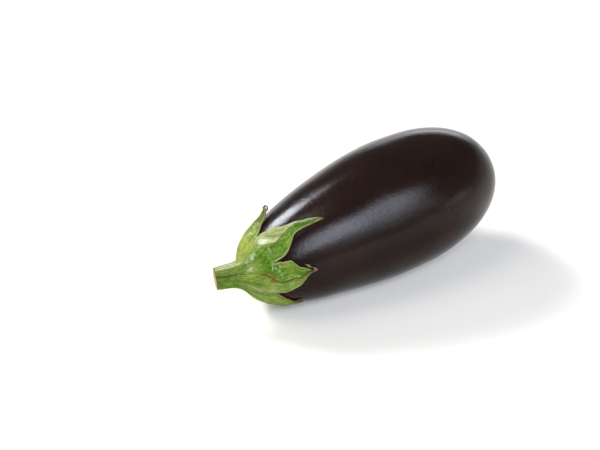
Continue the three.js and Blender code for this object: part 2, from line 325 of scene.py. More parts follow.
# Each sepal's tip (angle and distance from the neck apex), how far it stands off the skin, how
# steeply it is folded, and its outline: how much of its width is in the tail, how that tapers, and
# between which q the shoulder falls away. q is 0 at the notch and 1 at the tip.
SEPALS = [
    {"angle": 54, "reach": 31, "lift": 2.6, "twist": -0.3, "roof": 2.1, "tail": 0.6, "taper": 0.7,
     "shoulder": (0.05, 0.5)},
    {"angle": 119.5, "reach": 52, "lift": 0.6, "twist": 0, "roof": 1.9, "tail": 0.45, "taper": 0.78,
     "shoulder": (0.16, 0.58)},
    {"angle": 163.5, "reach": 34.5, "lift": 0.9, "twist": 0, "roof": 1.3, "tail": 0.25,
     "taper": 0.6, "shoulder": (0.17, 1.05)},
    {"angle": 213, "reach": 28, "lift": 0.4, "twist": 0, "roof": 0.2, "tail": 0.95, "taper": 1.3,
     "shoulder": (0, 0.4)},
    {"angle": 286, "reach": 34, "lift": 0.6, "twist": 0.1, "roof": 1.2, "tail": 0.4, "taper": 0.8,
     "shoulder": (0.2, 0.8)},
    {"angle": 348, "reach": 45, "lift": 1.2, "twist": 0.15, "roof": 1.9, "tail": 0.42, "taper": 0.7,
     "shoulder": (0.18, 0.65)},
]
SEPAL_COUNT = len(SEPALS)
# No margin is quite regular. Each bulge, by sepal and side: its place and width in q, and by how
# many degrees the margin stands out there, or draws in.
BULGES = {
    (0, -1): [(0.7, 0.25, -6)],
    (0, 1): [(0.58, 0.28, 8)],
    (1, -1): [(0.24, 0.1, -5.2), (0.41, 0.07, -2.8), (0.61, 0.09, 1.9)],
    (1, 1): [(0.38, 0.14, 3)],
    (2, -1): [(0.29, 0.06, -1.8), (0.53, 0.07, 3.2), (0.69, 0.05, -1.2)],
    (2, 1): [(0.65, 0.17, 3.6)],
}
TIP_WIDTH = 0.5  # degrees to each side of the tip's middle
WAVE_SIZE, WAVE_RATE, WAVE_START, WAVE_OFFSET = 0.6, 11, -2, 0.7  # a slow wave of the margins
FRAY_SIZE, FRAY_RATE, FRAY_BEAT = 0.25, 57, 23  # and a fine one that comes and goes
print("sepals:", SEPAL_COUNT, "of", [sepal["reach"] for sepal in SEPALS], "mm from the neck apex")

# %% [markdown]
# ## Where the stem stands
#
# The stalk leaves the neck a little to one side and turns on its way to the cut. The calyx has to
# know its outline before the stalk is made, because the cap grows out of it. Both could measure a
# finished mesh, but three short functions of the same numbers can't disagree.

# %% The stem's own numbers
STEM_FOOT = TILT @ np.array([-3.2, 3.3, -8.9]) - REST_SPOT
FOOT_RADIUS, END_RADIUS, STEM_LENGTH = 8.2, 5.7, 14.8
STEM_TURN = (18, 33)  # its heading at the foot and at the cut, from the axis towards +Y
DROOP = 3  # degrees that it hangs below the axis
RIDGE, RIDGE_SOFT = 1.1, 0.08  # how high its ridges stand, and how far their tops are rounded
FLARE = 3.2  # the length over which its flare at the foot halves
CUT_TURN, CUT_RISE = 17, 0.09  # how the cut's normal leaves the stem's heading: degrees, slope up


def heading_at(degrees):
    """The stem's direction where it has turned by an angle from the fruit's axis towards +Y."""
    turn = np.radians(np.asarray(degrees, float))
    drop = np.full_like(turn, -np.sin(np.radians(DROOP)))
    return unit(np.stack([-np.cos(turn), np.sin(turn), drop], -1)) @ TILT.T


def stem_spoke(turn, angle):
    """The direction across the stem's heading, from its middle to its side at an angle round it."""
    turn, angle = np.broadcast_arrays(np.radians(np.asarray(turn, float)), angle)
    aside = np.stack([np.sin(turn), np.cos(turn), np.zeros_like(turn)], -1)
    upright = np.array([0, 0, 1.0])
    return unit((aside * np.cos(angle)[..., None] + upright * np.sin(angle)[..., None]) @ TILT.T)


def stem_reach(radius, v):
    """The stem's radius with its ridges: one stands above each sepal's midline, v = 0."""
    return radius + RIDGE * (1 - soft_abs(v, RIDGE_SOFT)) ** 1.5 * (radius / FOOT_RADIUS)


print("the stem's foot in mm:", STEM_FOOT.round(1).tolist(), "and its length:", STEM_LENGTH)

# %% [markdown]
# ## A sepal's margins
#
# A sepal's outline is what the eye knows it by: a broad shoulder, a tapering tail and margins that
# never run quite true. A drawn curve could give it, but it would have to be bent over the fruit
# afterwards. So each margin is an angle round the neck for each u: it starts at its notch and
# closes in on the midline, with its own bulges.

# %% A sepal's margins
ROW_MM = 62  # mm along the calyx for each radian of u, roughly


def sepal_width(q, sepal):
    """Width at q, 0 at the notch and 1 at the tip, as a share of the width at the notch: a blade
    that falls away over the shoulder plus a tail that tapers all the way."""
    blade = (1 - sepal["tail"]) * (1 - smoothstep(q, *sepal["shoulder"]))
    return blade + sepal["tail"] * np.maximum(1 - q, 0) ** sepal["taper"]


def bulging(q, bulges):
    """A margin's bulges in degrees: the sum of size x exp(-((q - place) / width) ^ 2), with none at
    the notch or the tip."""
    made = sum(size * np.exp(-(((q - place) / width) ** 2)) for place, width, size in bulges)
    return made * smoothstep(q, 0, 0.06) * (1 - smoothstep(q, 0.9, 1))


def margin(u, side, k, middle):
    """The angle of one margin of sepal k at u, and how many mm it is past its notch: it follows the
    notch line down to the notch, then closes on the midline, with bulges and a slight wave."""
    sepal, (notch_angle, notch_row) = SEPALS[k], NOTCHES[(k + (side > 0)) % SEPAL_COUNT]
    notch_angle += 360 if k == SEPAL_COUNT - 1 and side > 0 else 0
    notch_u = COLLAR + notch_row * ROW_STEP
    q = np.clip((u - notch_u) / (polar_angle(sepal["reach"]) - notch_u), 0, 1)
    wave = WAVE_SIZE * np.sin(WAVE_RATE * q + WAVE_START + WAVE_OFFSET * side) * np.sin(np.pi * q)
    fray = FRAY_SIZE * np.sin(FRAY_RATE * q + 3 * side) * np.sin(FRAY_BEAT * q) * np.sin(np.pi * q)
    aside = TIP_WIDTH * q**4 + wave + fray + bulging(q, BULGES.get((k, side), []))
    free = mix(middle, notch_angle, sepal_width(q, sepal)) + side * aside
    return np.where(q > 0, free, notch_angle), (u - notch_u) * ROW_MM


half_way = [round(float(sepal_width(0.5, sepal)), 2) for sepal in SEPALS]
print("width of each sepal half way down, as a share of its notch's:", half_way)

# %% [markdown]
# ## A sepal's relief
#
# A sepal isn't flat: it is folded like a shallow roof along its keel, thick there and thin at its
# margin, with low veins beside the keel. A displacement map could raise them, but the fold is
# deeper than the sepal is thick. So all of it is one height over the skin, given by u and v.

# %% A sepal's relief
FOLD_SOFT = 0.06  # the keel's fold is rounded off over this share of the half width
VEIN, VEIN_RATE, VEIN_BEGINS = 0.3, 11, (0.1, 0.3)  # the low veins beside the keel
# A low swelling runs across the cap just above the notch between sepals 1 and 2: its height and
# width in mm, its middle and half length in grown, and its path as pairs of grown and u.
SWELLING, SWELLING_WIDTH, SWELLING_AT, SWELLING_SPAN = 0.4, 1.6, 133, 17
SWELLING_PATH = [(105, 0.6), (125, 0.565), (140, 0.54), (154, 0.59)]
# Where the keel runs across each sepal: pairs of q, 0 at the notch and 1 at the tip, and v.
KEELS = [
    [(0, 0), (1, 0)],
    [(0, -0.09), (0.2, 0.09), (0.4, -0.12), (0.55, -0.25), (0.8, -0.4), (1, 0)],
    [(0, 0.12), (0.2, 0.16), (0.55, 0.24), (0.75, 0.27), (0.9, 0), (1, 0)],
    [(0, 0), (1, 0)],
    [(0, 0), (0.5, 0.15), (1, 0)],
    [(0, 0.05), (0.5, -0.1), (1, 0)],
]


def sepal_height(k, q, u, v, half_width, grown):
    """A sepal's thickness in mm, and how far each point is from its keel. Thickness is edge + body
    over the cap + (roof + rib) that fade to the tip + veins + swelling. The roof falls in a
    straight line from the keel to both margins, and the rib is a bell of RIB_WIDTH upon it."""
    keel = np.interp(q, *zip(*KEELS[k])) * smoothstep(u, COLLAR, CAP_END)
    across = np.where(v < keel, (keel - v) / (1 + keel), (v - keel) / (1 - keel))
    keel_mm = (v - keel) * half_width
    cap = 1 - smoothstep(u, COLLAR, CAP_END)
    roof = SEPALS[k]["roof"] * (1 - soft_abs(across, FOLD_SOFT))
    rib = RIB * (1 - v * v) * np.exp(-((keel_mm / RIB_WIDTH) ** 2))
    veins = VEIN * np.cos(VEIN_RATE * across) * smoothstep(across, *VEIN_BEGINS)
    veins = veins * (1 - across) * (1 - q)
    off_path = (u - np.interp(grown, *zip(*SWELLING_PATH))) * ROW_MM
    swelling = SWELLING * np.exp(-((off_path / SWELLING_WIDTH) ** 2))
    swelling = swelling * np.exp(-(((grown - SWELLING_AT) / SWELLING_SPAN) ** 4))
    height = EDGE + BODY * cap + (roof + rib) * (1 - TIP_FADE * q) + veins + swelling
    return height, keel_mm


steepest = max(sepal["roof"] for sepal in SEPALS)
print("thickest at a keel, below the cap:", round(EDGE + steepest + RIB, 1), "mm")

# %% [markdown]
# ## A sepal's two faces
#
# The inner face follows the skin at a hair's distance, and lifts where the tip has dried and
# curled. The outer face could be the inner one made thick by a modifier, but up at the neck it has
# to sweep from the stem's own outline down to the skin. So it follows a Bezier curve there, which
# is what makes calyx and stem look grown together.

# %% A sepal's two faces
SEPAL_COLUMNS, CAP_ROWS, BLADE_ROWS = 60, 50, 50
EDGE_CROWDING = 0.7  # how much closer the columns lie towards the margins
FREE_WITHIN = 0.8  # mm past its notch within which a margin comes free
ROUNDING, THINNEST = 0.9, 0.3  # a free margin is rounded over so many mm, down to this share
CURL, CURL_BEGINS, CURL_CHANGE = 0.5, (0.05, 0.4), 0.6  # how far dried margins turn up, unevenly
# An old scratch, healed brown, as pairs of u and grown. It runs down the groove over notch 2 and
# then along sepal 2's keel.
SCRATCH = [(0.16, 136.8), (0.216, 138.4), (0.304, 141.5), (0.376, 143), (0.432, 147.6),
           (0.48, 154), (0.528, 160.8), (0.573, 164.8), (0.612, 165.8), (0.671, 166.4),
           (0.737, 168.2), (0.796, 167.4), (0.842, 162), (0.888, 154)]


def swept_neck(u, v, angle, landing, down):
    """The outer face above NECK_END: a cubic Bezier from the stem's outline at the foot to where it
    lands on the skin, (1-s)^3 foot + 3s(1-s)^2 leave + 3s^2(1-s) arrive + s^3 landing. It leaves
    along the stem and arrives along the skin."""
    s = np.clip((u - COLLAR) / (NECK_END - COLLAR), 0, 1)[..., None]
    foot = STEM_FOOT + stem_spoke(STEM_TURN[0], angle) * stem_reach(FOOT_RADIUS, v)[..., None]
    leave = foot - heading_at(STEM_TURN[0]) * LEAVE_STEM
    arrive = landing - down * MEET_SKIN
    swept = ((1 - s) ** 3 * foot + 3 * s * (1 - s) ** 2 * leave + 3 * s * s * (1 - s) * arrive
             + s**3 * landing)
    return np.where(s < 1, swept, landing)


def sepal_faces(k):
    """The points of a sepal's outer and inner faces, and what the tints need to know at each. The
    outer face is skin + normal x (gap + height + lift + curl), and the inner one has no height."""
    sepal, left, right = SEPALS[k], NOTCHES[k][0], NOTCHES[(k + 1) % SEPAL_COUNT][0]
    right += 360 if k == SEPAL_COUNT - 1 else 0
    tip_u = polar_angle(sepal["reach"])
    u = np.concatenate([np.linspace(COLLAR, CAP_END, CAP_ROWS + 1),
                        np.linspace(CAP_END, tip_u, BLADE_ROWS + 1)[1:]])[:, None]
    share = np.linspace(-1, 1, SEPAL_COLUMNS + 1)[None, :]
    v = (1 - EDGE_CROWDING) * share + EDGE_CROWDING * np.sin(np.pi / 2 * share)
    u, v = np.broadcast_arrays(u, v)
    q = np.clip((u - CAP_END) / (tip_u - CAP_END), 0, 1)
    middle = mix((left + right) / 2, sepal["angle"], q**3)
    start, past_left = margin(u, -1, k, middle)
    end, past_right = margin(u, 1, k, middle)
    angle = np.radians(mix(start, end, (v + 1) / 2))
    grown = mix(left, right, (v + 1) / 2)  # the angle that the fibres follow
    land_u = np.maximum(u, NECK_END)
    half_width = girth_at(land_u) * np.radians(end - start) / 2

    height, keel_mm = sepal_height(k, q, u, v, half_width, grown)
    free = np.clip(np.where(v < 0, past_left, past_right) / FREE_WITHIN, 0, 1)
    from_edge = (1 - np.abs(v)) * half_width
    rounded = np.sqrt(1 - (1 - np.clip(from_edge / ROUNDING, 0, 1)) ** 2)
    height = height * mix(1, THINNEST + (1 - THINNEST) * rounded, free)
    lift = (sepal["lift"] + sepal["twist"] * v * half_width) * q * q
    uneven = 1 + CURL_CHANGE * np.sin(9 * q + 2 * v + k)
    curl = CURL * v**4 * smoothstep(q, *CURL_BEGINS) * uneven

    inner = skin_point(u, angle) + (GAP + lift + curl)[..., None] * skin_normal(u, angle)
    landing = (skin_point(land_u, angle)
               + (GAP + height + lift + curl)[..., None] * skin_normal(land_u, angle))
    down = unit(skin_point(land_u + 0.01, angle) - skin_point(land_u, angle))
    outer = swept_neck(u, v, angle, landing, down)

    spread = 2 * half_width / (right - left)  # mm across for each degree of grown
    told = {
        "grown": grown,
        "scratch_mm": (grown - np.interp(u, *zip(*SCRATCH))) * spread,
        "along": (u - COLLAR) * ROW_MM,
        "edge_mm": mix(FAR, from_edge, free),
        "keel_mm": keel_mm,
        "down": q,
        "spread": spread,
        "sepal": np.full(u.shape, float(k)),
        "u": u,
    }
    return outer, inner, told


print("each sepal is a grid of", CAP_ROWS + BLADE_ROWS, "rows by", SEPAL_COLUMNS, "columns")

# %% [markdown]
# ## The whole calyx
#
# The six sepals are sewn into one closed skin: outer faces, inner faces, a narrow wall along each
# free margin, and a plug at each end of the collar, one under the stem and one over the neck.
# Points that two sepals share are merged, so that the cap is one piece, as it grew.

# %% Make the calyx's points
def calyx_shell():
    """All sepals' grids, their margins' walls and the collar's two plugs, as points and faces."""
    points, faces, values, rings = [], [], {}, ([], [])
    for k in range(SEPAL_COUNT):
        outer, inner, told = sepal_faces(k)
        size = outer[..., 0].size
        top = sum(len(p) for p in points) + np.arange(size).reshape(outer.shape[:2])
        under = top + size
        points += [outer.reshape(-1, 3), inner.reshape(-1, 3)]
        for key, data in told.items():
            values.setdefault(key, []).extend([data.ravel(), data.ravel()])
        left = NOTCHES[k][1] * CAP_ROWS // CAP_STEPS  # the row from which each margin is free
        right = NOTCHES[(k + 1) % SEPAL_COUNT][1] * CAP_ROWS // CAP_STEPS
        faces += cells(top) + cells(under)
        for edge in ((top[left:, 0], under[left:, 0]), (top[right:, -1], under[right:, -1]),
                     (top[-1], under[-1])):
            faces += cells(np.stack(edge, 1))
        rings[0].append(top[0, :-1])
        rings[1].append(under[0, :-1])
    points = np.concatenate(points)
    values = {key: np.concatenate(parts) for key, parts in values.items()}
    neck_apex = skin_point(0.0, 0.0) + heading_at(0) * 2 * GAP
    for ring, middle in zip(rings, (STEM_FOOT, neck_apex)):
        ring = np.concatenate(ring)
        faces += fan(len(points), ring)
        points = np.concatenate([points, middle.reshape(1, 3)])
        values = {key: np.append(data, data[ring[0]]) for key, data in values.items()}
    return points, faces, values


calyx_points, calyx_faces, calyx_values = calyx_shell()
print("calyx:", len(calyx_points), "points,", len(calyx_faces), "faces")


# %% [markdown]
# ## The stem
#
# The stalk was cut off short with shears. It is ribbed: a ridge stands above each sepal's midline
# and a groove runs down to each notch, as if the sepals had been folded round it. It could be a
# swept curve with a profile, but its outline has to be the calyx's own where they meet, so both use
# the same two functions. The cut face has dried: its rim stands up a little and the pith has sunk.

# %% The stem's points
STEM_COLUMNS, STEM_ROWS, CUT_RINGS = 240, 44, 14
KNOT, KNOT_RATE, KNOT_TURN = 0.10, 23, 3  # its small knots: how high, and how fast they change
# It is fuller on the side towards sepal 0, and under its cut end: mm, and the middle as grown.
SIDE_FULLNESS, END_FULLNESS, FULLNESS_SPREAD = (1.4, 62), (1.0, 215), 32
SLIDE_BEGINS = 0.55  # the share of its length where rows begin to lean towards the oblique cut
PITH_SINKS, PITH_EDGE = 0.45, (1, 0.8)  # mm, and the rings between which the face sinks
BARK_STANDS, BARK_RING, BARK_WIDTH = 0.25, 0.86, 0.06  # the raised ring where the bark has shrunk
CUT_GRAIN = 0.08


def fullness(size, middle, grown):
    """How much further the stalk reaches: size x exp(-((grown - middle) / spread) ^ 2)."""
    return size * np.exp(-(((grown - middle) / FULLNESS_SPREAD) ** 2))


def cut_face(rim, middle, cut, grown):
    """The cut face: the rim drawn in to each ring's share, then sunk along the cut's normal by
    hollow + rough. The hollow steps down to the pith, less a bell for the bark's raised ring."""
    ring = np.linspace(1, 0, CUT_RINGS + 1)[1:, None]
    hollow = PITH_SINKS * smoothstep(ring, *PITH_EDGE)
    hollow = hollow - BARK_STANDS * np.exp(-(((ring - BARK_RING) / BARK_WIDTH) ** 2))
    rough = CUT_GRAIN * np.sin(9 * np.radians(grown) + 12 * ring) * np.sin(21 * ring) * ring
    return ring, middle + (rim - middle) * ring[..., None] - cut * (hollow + rough)[..., None]


def stem_shell():
    """The side as rings along a turning spine, the last one slid onto the oblique plane of the cut,
    and the cut face as rings that close in on its middle."""
    share = np.arange(STEM_COLUMNS) / STEM_COLUMNS * SEPAL_COUNT
    k = np.floor(share).astype(int)
    bounds_left = np.array([a for a, _ in NOTCHES])
    bounds_right = np.append(bounds_left[1:], bounds_left[0] + 360)
    grown = mix(bounds_left[k], bounds_right[k], share - k)[None, :]
    v = (2 * (share - k) - 1)[None, :]
    s = np.linspace(0, 1, STEM_ROWS)[:, None]
    turn = mix(*STEM_TURN, s)
    steps = heading_at(turn[:, 0]) * STEM_LENGTH / (STEM_ROWS - 1)
    spine = STEM_FOOT + np.cumsum(steps, axis=0) - steps[0]
    radius = mix(FOOT_RADIUS, END_RADIUS, 1 - 2 ** (-s * STEM_LENGTH / FLARE))
    ridges = stem_reach(radius, v)
    knots = KNOT * np.sin(np.radians(grown) * KNOT_RATE + KNOT_TURN * s) * smoothstep(s, 0, 0.3)
    knots = knots + fullness(*SIDE_FULLNESS, grown) * np.sin(np.pi * s)
    knots = knots + fullness(*END_FULLNESS, grown) * smoothstep(s, 0.1, 0.9)
    side = spine[:, None] + stem_spoke(turn, np.radians(grown)) * (ridges + knots)[..., None]
    cut = unit(heading_at(STEM_TURN[1] - CUT_TURN) + [0, 0, CUT_RISE])
    on_way = heading_at(STEM_TURN[1])
    slide = -((side[-1] - spine[-1]) @ cut) / (on_way @ cut)
    # The rows before it share in the last ring's slide, more the nearer they are to the cut.
    side = side + (smoothstep(s, SLIDE_BEGINS, 1) * slide)[..., None] * on_way
    ring, face = cut_face(side[-1], spine[-1], cut, grown)
    points = np.concatenate([side, face])
    zero = np.zeros(points.shape[:2])
    # The scratch widens towards the cut, so the distance to it is counted short there.
    scratch_radius = np.concatenate([radius * (1 - 0.4 * s), 0.6 * END_RADIUS * ring])
    told = {
        "grown": grown + zero,
        "along": np.concatenate([-s * STEM_LENGTH, np.full_like(ring, -STEM_LENGTH)]) + zero,
        "scratch_mm": np.radians(grown - SCRATCH[0][1]) * scratch_radius,
        "from_cut": np.concatenate([(s - 1) * STEM_LENGTH, (1 - ring) * END_RADIUS]) + zero,
        "edge_mm": FAR + zero,
        "keel_mm": FAR + zero,
        "down": zero,
        "spread": np.radians(girth_at(np.array(NECK_END))) + zero,
        "sepal": zero - 1,
        "u": COLLAR + zero,
    }
    index = np.arange(zero.size).reshape(zero.shape)
    index = np.concatenate([index, index[:, :1]], axis=1)
    faces = cells(index) + fan(zero.size, index[0, :-1])
    points = np.concatenate([points.reshape(-1, 3), spine[:1]])
    return points, faces, {key: np.append(data.ravel(), data[0, 0]) for key, data in told.items()}


stem_points, stem_faces, stem_values = stem_shell()
print("stem:", len(stem_points), "points,", len(stem_faces), "faces")

# %% [markdown]
# ## Marks on the calyx
#
# A living calyx is never one green. Some of its ridges catch the light, which is painted here as
# pale highlights; facets in the sun have bleached, and the lit ones are painted paler as painted
# light;
# rubbed places have healed brown, and fresh veins stay dark. A brush would be the natural tool, so
# each mark is a brush stroke: a path over the calyx, a width and a strength.
# The edge of a stroke is soft here, and the nodes roughen it later.

# %% Brush strokes
# Each stroke: its width in mm, its strength from 0 to 1, and its path as pairs of u and grown.
# Painted highlights: pale strokes where ridges of the calyx and the stalk catch the light.
PAINTED_HIGHLIGHTS = [
    (1.5, 0.8, [(COLLAR, 84), (0.19, 88), (0.23, 95)]), (1.8, 0.75, [(COLLAR, 70), (0.15, 71)]),
    (2.3, 1.0, [(0.565, 98), (0.60, 102)]), (2.2, 0.32, [(0.61, 104), (0.66, 107), (0.73, 110)]),
    (1.4, 0.4, [(0.595, 115), (0.59, 121)]), (1.2, 0.35, [(0.56, 133), (0.545, 138), (0.535, 145)]),
    (2.0, 0.32, [(0.585, 146), (0.60, 153), (0.60, 158)]),
    (2.0, 0.5, [(0.33, 111), (0.37, 111), (0.44, 108)]),
    (1.9, 0.45, [(0.335, 127), (0.325, 131)]), (2.2, 0.55, [(0.54, 66), (0.56, 68)]),
    (2.2, 0.45, [(0.63, 66), (0.66, 67)]), (1.6, 0.4, [(0.56, 82), (0.55, 81)]),
    (1.2, 0.35, [(0.61, 140), (0.615, 146)]), (1.2, 0.35, [(0.75, 163), (0.77, 168)]),
    (1.6, 0.3, [(0.33, 204), (0.36, 203)]), (1.0, 0.6, [(0.86, 97), (0.95, 97), (1.04, 99)]),
    (1.8, 0.5, [(0.6, 300), (0.7, 296)]), (2.0, 0.5, [(0.5, 340), (0.62, 346)]),
]
HEALED = [
    (0.75, 0.9, [(COLLAR, 103), (0.18, 104)]), (0.8, 0.4, [(0.27, 172), (0.31, 186)]),
    (0.8, 0.8, [(0.40, 145), (0.44, 148), (0.47, 152), (0.50, 156)]),
    (0.9, 0.7, [(0.495, 147), (0.52, 152), (0.53, 157)]), (0.9, 0.8, [(0.49, 160), (0.53, 162)]),
    (0.9, 0.8, [(0.52, 187), (0.6, 188.5), (0.7, 188.5)]),
    (1.2, 0.4, [(0.30, 180), (0.29, 186), (0.31, 190)]),
    (1.2, 0.5, [(0.53, 193), (0.58, 195)]), (0.5, 0.65, [(0.70, 112), (0.77, 109), (0.79, 106)]),
    (1.0, 0.9, [(0.68, 190), (0.73, 193), (0.79, 196)]),
    (0.6, 0.5, [(0.56, 106), (0.52, 100), (0.5, 92)]),
    (0.6, 0.5, [(0.62, 112.5), (0.7, 112.5)]), (0.6, 0.45, [(0.36, 90), (0.44, 92)]),
    (0.7, 0.5, [(0.74, 66), (0.80, 70)]), (0.8, 0.4, [(0.43, 121), (0.44, 124)]),
    (0.5, 0.4, [(0.53, 106), (0.57, 108), (0.62, 112)]), (1.0, 0.4, [(0.32, 84), (0.42, 86)]),
    (1.0, 0.4, [(0.36, 60), (0.33, 62)]), (1.0, 0.3, [(0.50, 70), (0.49, 76)]),
    (1.2, 0.5, [(1.08, 108), (1.1, 112)]), (0.8, 0.6, [(0.95, 116), (0.955, 118)]),
    (1.0, 0.6, [(0.45, 262), (0.52, 268)]), (0.8, 0.6, [(0.6, 330), (0.68, 336), (0.7, 344)]),
]
OLIVE = [
    (4.0, 0.5, [(0.35, 135), (0.38, 122)]), (1.4, 0.5, [(0.44, 118), (0.44, 126)]),
    (2.5, 0.8, [(0.25, 143), (0.32, 147)]), (3.0, 0.4, [(0.25, 158), (0.40, 158)]),
    (4.0, 0.8, [(0.30, 183), (0.45, 180)]), (5.0, 0.6, [(0.35, 205), (0.62, 205)]),
    (1.6, 0.6, [(0.36, 64), (0.30, 84), (0.42, 88)]), (1.4, 0.5, [(0.50, 66), (0.49, 76)]),
    (2.5, 0.6, [(0.66, 141), (0.72, 150), (0.72, 158)]), (4.0, 0.5, [(0.4, 270), (0.6, 275)]),
    (4.0, 0.5, [(0.4, 330), (0.55, 0)]),  # the angle runs down here, so it crosses the underside
]
# Paler strokes: partly bleached tissue, partly painted light on facets and the stalk's top ridge
# that face the light.
PALE_AND_LIT = [
    (2.2, 1.0, [(COLLAR, 86), (0.20, 92), (0.26, 98)]), (0.7, 0.6, [(COLLAR, 133), (0.18, 134)]),
    (1.5, 0.9, [(0.86, 95), (0.95, 99), (1.04, 103)]), (1.4, 0.6, [(0.34, 124), (0.30, 128)]),
    (1.5, 0.5, [(0.8, 270), (0.95, 272)]), (2.5, 0.4, [(0.4, 330), (0.6, 336)]),
    (3.0, 0.35, [(0.30, 181), (0.5, 181)]), (1.6, 0.12, [(COLLAR, 124), (0.19, 126)]),
]
FRESH = [
    (1.2, 0.1, [(COLLAR, 118), (0.22, 122)]), (2.0, 0.6, [(COLLAR, 165), (0.22, 166)]),
    (1.3, 0.7, [(0.64, 95), (0.70, 101), (0.76, 106)]),
    (1.8, 0.9, [(0.90, 110), (0.97, 114), (1.03, 113)]),
    (2.0, 0.6, [(0.62, 116), (0.72, 120)]), (2.0, 0.6, [(0.42, 112), (0.55, 116)]),
    (3.6, 1.0, [(0.47, 116), (0.5, 130), (0.50, 143)]),
    (2.5, 0.8, [(0.50, 146), (0.56, 152), (0.6, 160)]),
    (2.2, 0.7, [(0.22, 164), (0.38, 166)]), (2.0, 0.6, [(0.22, 118), (0.30, 116)]),
    (2.0, 0.6, [(0.40, 190), (0.66, 192)]), (1.2, 0.5, [(0.64, 90), (0.8, 97)]),
    (3.5, 0.6, [(0.60, 148), (0.70, 153), (0.8, 158)]), (3.0, 0.7, [(0.45, 230), (0.6, 240)]),
    (3.0, 0.7, [(0.45, 300), (0.6, 310)]), (3.0, 0.7, [(0.5, 20), (0.5, 36)]),
]
PAINTS = {"painted_highlight": PAINTED_HIGHLIGHTS, "healed": HEALED, "olive": OLIVE, "fresh": FRESH, "pale_and_lit": PALE_AND_LIT}
print("strokes:", {name: len(strokes) for name, strokes in PAINTS.items()})

# %% [markdown]
# ## How a stroke spreads
#
# Paint is thickest under the middle of the brush and thins out to its sides. Blender's vertex paint
# works that way too, but a hand's strokes can't be repeated. Here each point looks for the nearest
# place on a stroke's path and takes its paint from how far that is.

# %% How a stroke spreads
NO_ZERO = 1e-9  # keeps the division by a stroke's length safe


def painted(strokes, told):
    """How much paint each point has: strength x exp(-(distance / width) ^ 2) of the stroke that
    gives it most, with the distance in mm to the nearest place on the stroke's path."""
    paint = np.zeros_like(told["u"])
    for width, strength, path in strokes:
        for (u0, g0), (u1, g1) in zip(path, path[1:]):
            turned = (told["grown"] - g0 + 180) % 360 - 180
            x, y = turned * told["spread"], (told["u"] - u0) * ROW_MM
            dx, dy = (g1 - g0) * told["spread"], (u1 - u0) * ROW_MM
            share = np.clip((x * dx + y * dy) / (dx * dx + dy * dy + NO_ZERO), 0, 1)
            distance = np.hypot(x - share * dx, y - share * dy)
            paint = np.maximum(paint, strength * np.exp(-((distance / width) ** 2)))
    return paint


# %% [markdown]
# ## Tints that the mesh carries
#
# Some colours belong to whole parts of the plant: the facet above a keel that the sun has bleached,
# which is also painted paler as painted light because it faces the lamps, or the side of the cap
# that has turned yellow. A painted picture could hold them, but it would need an unwrapped surface
# and has its own pixels. The mesh is fine enough to carry them itself, as a number at each point
# that the nodes read by name, and the strokes are worked out the same way.

# %% Tints
YELLOW_AT, YELLOW_SPREAD = 70, 30  # the side of the cap that has turned, as grown angles
BLADE_FROM = (19, 25)  # mm from the collar between which the cap's colours give way to the blades'
PALE_AND_LIT_FACETS = {1: 0.95, 2: 0.12}  # how much paler a facet of these sepals is: partly bleached, partly painted light
DULLED = 0.8  # and how far sepal 0, which stands off the skin, has browned
# The old scratch is open at some places and closed at others: pairs of u, and how open it is.
SCRATCH_OPEN = [(0.16, 1), (0.2, 0.85), (0.26, 0.3), (0.38, 0.1), (0.44, 0.7), (1, 1)]


def fibre(grown, along, radius=20):
    """Coordinates that follow the fibres, in mm: round a circle by their grown angle, and down."""
    turn = np.radians(grown)
    return np.stack([radius * np.cos(turn), radius * np.sin(turn), along], -1)


def tints(told):
    """How much of each tint, 0 to 1, every point of the calyx or stalk takes. The brush strokes
    give some; the rest are smooth steps over whole facets, such as the one above sepal 1's keel."""
    sepal, grown, down = told["sepal"], told["grown"], told["down"]
    above_keel = smoothstep(smoothstep(down, 0.7, 0.9) - told["keel_mm"], -0.3, 0.5)
    blade = smoothstep(told["along"], *BLADE_FROM)
    made = {
        "yellow": np.exp(-(((grown - YELLOW_AT) / YELLOW_SPREAD) ** 2)) * (1 - 0.5 * blade),
        # Paler facets: partly bleached by the sun, partly painted light on the facet that catches
        # more of it.
        "pale_and_lit": np.select([sepal == 1, sepal == 2], [PALE_AND_LIT_FACETS[1] * above_keel * blade,
                                                     PALE_AND_LIT_FACETS[2] * (1 - above_keel) * blade]),
        # A line of painted shade along sepal 1's fold, over the fold's own brown.
        "shaded_fold": np.where(sepal == 1, smoothstep(down, 0, 0.15), 0),
        "dull": np.where(sepal == 0, DULLED * smoothstep(down, 0.1, 0.5), 0),
        "scratched": np.interp(told["u"], *zip(*SCRATCH_OPEN)),
        "fibre": fibre(grown, told["along"]),
    }
    for name, strokes in PAINTS.items():
        made[name] = np.maximum(painted(strokes, told), made.get(name, 0))
        print(f"{name}: {(made[name] > 0.3).mean():.0%} of the points are painted")
    return made


# %% [markdown]
# ## Closing the two meshes
#
# On the plant the calyx and the stalk are one tissue. They could be one mesh, but the solids they
# stand for are two, so each gets its own, and both take the same tints so that no colour changes at
# the joint. Each keeps only the numbers that its material reads.

# %% Make the meshes of the calyx and the stem
LEAF_NUMBERS = ("yellow", "pale_and_lit", "dull", "painted_highlight", "healed", "olive", "fresh", "scratched",
                "shaded_fold", "edge_mm", "scratch_mm", "keel_mm", "down")


def leaf_mesh(name, points, faces, told):
    """A mesh of the calyx's tissue, with the tints and distances that the leaf's nodes read."""
    told = told | tints(told)
    kept = {key: told[key] for key in (*LEAF_NUMBERS, "fibre", "from_cut") if key in told}
    return make_mesh(name, points, faces, kept)


calyx = leaf_mesh("leafy_calyx", calyx_points, calyx_faces, calyx_values)
stem = leaf_mesh("cut_stem", stem_points, stem_faces, stem_values)

# %% [markdown]
# ## The dried tips
#
# Two sepals end in a brown thread, where the last millimetres of the tip have dried and curled
# back. A curve with a bevel could draw them, but its section would stay round. So each is a flat,
# twisted tube carried along a path over the skin, thin at its ends and uneven between.

